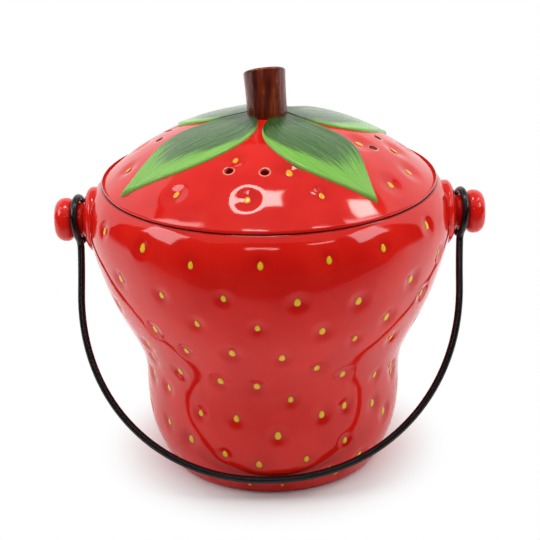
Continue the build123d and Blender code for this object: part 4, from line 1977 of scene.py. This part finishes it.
class Studio:
    """White paper under and behind the crock, soft lamps over it, and the camera."""

    lamps = (
        Softbox("overhead_lamp", -92.0, 85.9, 1.26, 0.40, 0.225, 3.3, colour=(1.0, 0.95, 0.90)),
        Softbox("left_lamp", -77.0, 33.5, 1.30, 0.58, 0.52, 4.4, colour=(1.0, 0.96, 1.0)),
        Softbox("right_lamp", 70.0, 33.5, 1.30, 0.48, 0.46, 3.2, colour=(1.0, 0.96, 1.0)),
        Softbox("left_strip", -92.0, 53.5, 1.30, 0.52, 0.10, 0.75, tilt=49.0),
        Softbox("right_strip", 92.0, 52.0, 1.30, 0.42, 0.10, 0.62, tilt=-54.0),
        Softbox("bright_right_lamp", 102.5, 52.5, 1.28, 0.23, 0.11, 1.0, tilt=-59.0,
                colour=(1.0, 0.93, 0.86)),
        Softbox("front_strip", -17.0, 72.7, 1.40, 0.30, 0.03, 0.37),
        Softbox("front_right_strip", 64.0, 64.0, 1.40, 0.23, 0.025, 0.23, tilt=-42.0),
        Softbox("low_front_strip", -6.0, 35.0, 1.30, 0.36, 0.06, 0.38),
        Softbox("low_front_right_strip", 36.0, 38.0, 1.30, 0.32, 0.05, 0.30),
        Softbox("ceiling", 0.0, 89.0, 1.52, 2.60, 2.60, 7.0),
        Softbox("fill_lamp", -12.0, 84.0, 1.50, 1.30, 1.10, 7.6, mirrored=False),
        Softbox("low_left_lamp", -78.0, 12.0, 1.50, 0.80, 0.60, 1.5, mirrored=False),
        Softbox("low_right_lamp", 78.0, 12.0, 1.50, 0.80, 0.60, 1.5, mirrored=False),
    )
    floor_reach = 3.0
    paper_front = -0.228
    paper_blur = 0.02
    paper_glow = (0.056, 0.104)
    paper_tone = (0.92, 0.92, 0.92)
    paper_front_reflected_shade = (0.27, 0.27, 0.27)
    table_tone = (0.05, 0.05, 0.05)
    room_tone = (0.035, 0.035, 0.037)
    white = (1.0, 1.0, 1.0)
    cove_distance = 1.5
    cove_height = 1.6
    cove_foot_turns = (108.0, 240.0)
    cove_top_turns = (78.0, 282.0)
    cove_columns = 49
    eye = (0.0, -0.7547, 0.4085)
    aim = (0.0, 0.0, 0.1083)
    lens = 95.86
    film_width = 36.0
    roll = 1.18
    shift = -0.0017

    def build(self) -> None:
        """Set up the whole studio."""
        self._world()
        self._floor()
        self._cove()
        for lamp in self.lamps:
            lamp.build()
        self._camera()
        log.info("studio has %d lamps", len(self.lamps))

    def _world(self) -> None:
        """Show white behind everything to the camera, and a dim room to the rest."""
        world = bpy.data.worlds.new("room")
        world.use_nodes = True
        bench = Bench(world.node_tree)
        bench.tree.nodes.clear()
        seen = bench.node("ShaderNodeLightPath").outputs["Is Camera Ray"]
        shade = bench.node("ShaderNodeMix", {"data_type": "RGBA"},
                           {0: seen, 6: self.room_tone, 7: self.white}).outputs[2]
        glow = bench.node("ShaderNodeBackground", {}, {"Color": shade, "Strength": 1.0})
        bench.node("ShaderNodeOutputWorld", {}, {0: glow.outputs[0]})
        bpy.context.scene.world = world

    def _floor(self) -> bpy.types.Object:
        """Lay the white paper. Reflections see it darkened towards its front edge by painted shade. In front
        of its edge it looks dark in reflections.
        """
        reach = self.floor_reach
        mesh = bpy.data.meshes.new("paper")
        mesh.from_pydata([(-reach, -reach, 0), (reach, -reach, 0), (reach, reach, 0), (-reach, reach, 0)],
                         [], [(0, 1, 2, 3)])
        paint = Paint("paper")
        x, y, _ = paint.split(paint.place)
        rays = paint.node("ShaderNodeLightPath")
        seen, mirrored = (Signal(paint, rays.outputs[name]) for name in ("Is Camera Ray", "Is Glossy Ray"))
        far = ((x * x + y * y) ** 0.5).step(*self.paper_glow) * seen
        past_edge = (y - self.paper_front).step(self.paper_blur, -self.paper_blur) * mirrored
        # Painted shade: reflections see the paper darker towards its front edge.
        tone = paint.blend(y.step(0.0, self.paper_front) * mirrored, self.paper_tone, self.paper_front_reflected_shade)
        paper = paint.node("ShaderNodeBsdfDiffuse", {}, {"Color": tone}).outputs[0]
        table = paint.node("ShaderNodeBsdfDiffuse", {}, {"Color": self.table_tone}).outputs[0]
        near = paint.node("ShaderNodeMixShader", {}, {0: past_edge, 1: paper, 2: table}).outputs[0]
        paint.close(paint.node("ShaderNodeMixShader", {}, {0: far, 1: near, 2: paint.glow(self.white)}))
        mesh.materials.append(paint.material)
        return new_piece("paper", mesh)

    def _cove(self) -> bpy.types.Object:
        """Stand white paper round the back and sides, which only reflections see."""
        edges = ((self.cove_foot_turns, 0.0), (self.cove_top_turns, self.cove_height))
        rows = np.array([[(*around(self.cove_distance, turn), height)
                          for turn in np.linspace(*turns, self.cove_columns)] for turns, height in edges])
        mesh = grid_mesh("cove", rows, False, (False, False))
        paint = Paint("cove")
        rays = paint.node("ShaderNodeLightPath")
        clear = paint.node("ShaderNodeBsdfTransparent").outputs[0]
        paint.close(paint.node("ShaderNodeMixShader", {}, {0: rays.outputs["Is Camera Ray"],
                                                           1: paint.glow(self.white), 2: clear}))
        mesh.materials.append(paint.material)
        return new_piece("cove", mesh)

    def _camera(self) -> None:
        """Set the camera where the photograph was taken from."""
        made = bpy.data.cameras.new("camera")
        made.lens, made.sensor_width, made.shift_x = self.lens, self.film_width, self.shift
        camera = new_piece("camera", made)
        ahead = (Vector(self.aim) - Vector(self.eye)).normalized()
        right = ahead.cross(Vector((0.0, 0.0, 1.0))).normalized()
        above = right.cross(ahead)
        turn = math.radians(self.roll)
        top = above * math.cos(turn) + right * math.sin(turn)
        side = right * math.cos(turn) - above * math.sin(turn)
        frame_turn = Matrix((side, top, -ahead)).transposed().to_4x4()
        camera.matrix_world = Matrix.Translation(self.eye) @ frame_turn
        bpy.context.scene.camera = camera


# ---- The crock ----


def main() -> None:
    """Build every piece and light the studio."""
    logging.basicConfig(level=logging.INFO, format="%(message)s")
    bpy.context.scene.view_settings.view_transform = "Standard"
    glazes = Glazes.mixed()
    CrockSkin("crock_glazed", "crock_body", "crock", glazes).build()
    LidSkin("lid_glazed", "lid_shell", "lid", glazes).build()
    for number, size in enumerate(LEAVES):
        Leaf(size, number, glazes.green).build()
    Lug("lug_left", -1, glazes.red).build()
    Lug("lug_right", 1, glazes.red).build()
    Bail(glazes.wire).build()
    for node, finish in (("stem_knob", glazes.brown), ("charcoal_filter", glazes.felt),
                         ("filter_grille", glazes.plastic)):
        dress(node, finish)
    Studio().build()


if __name__ == "__main__":
    main()
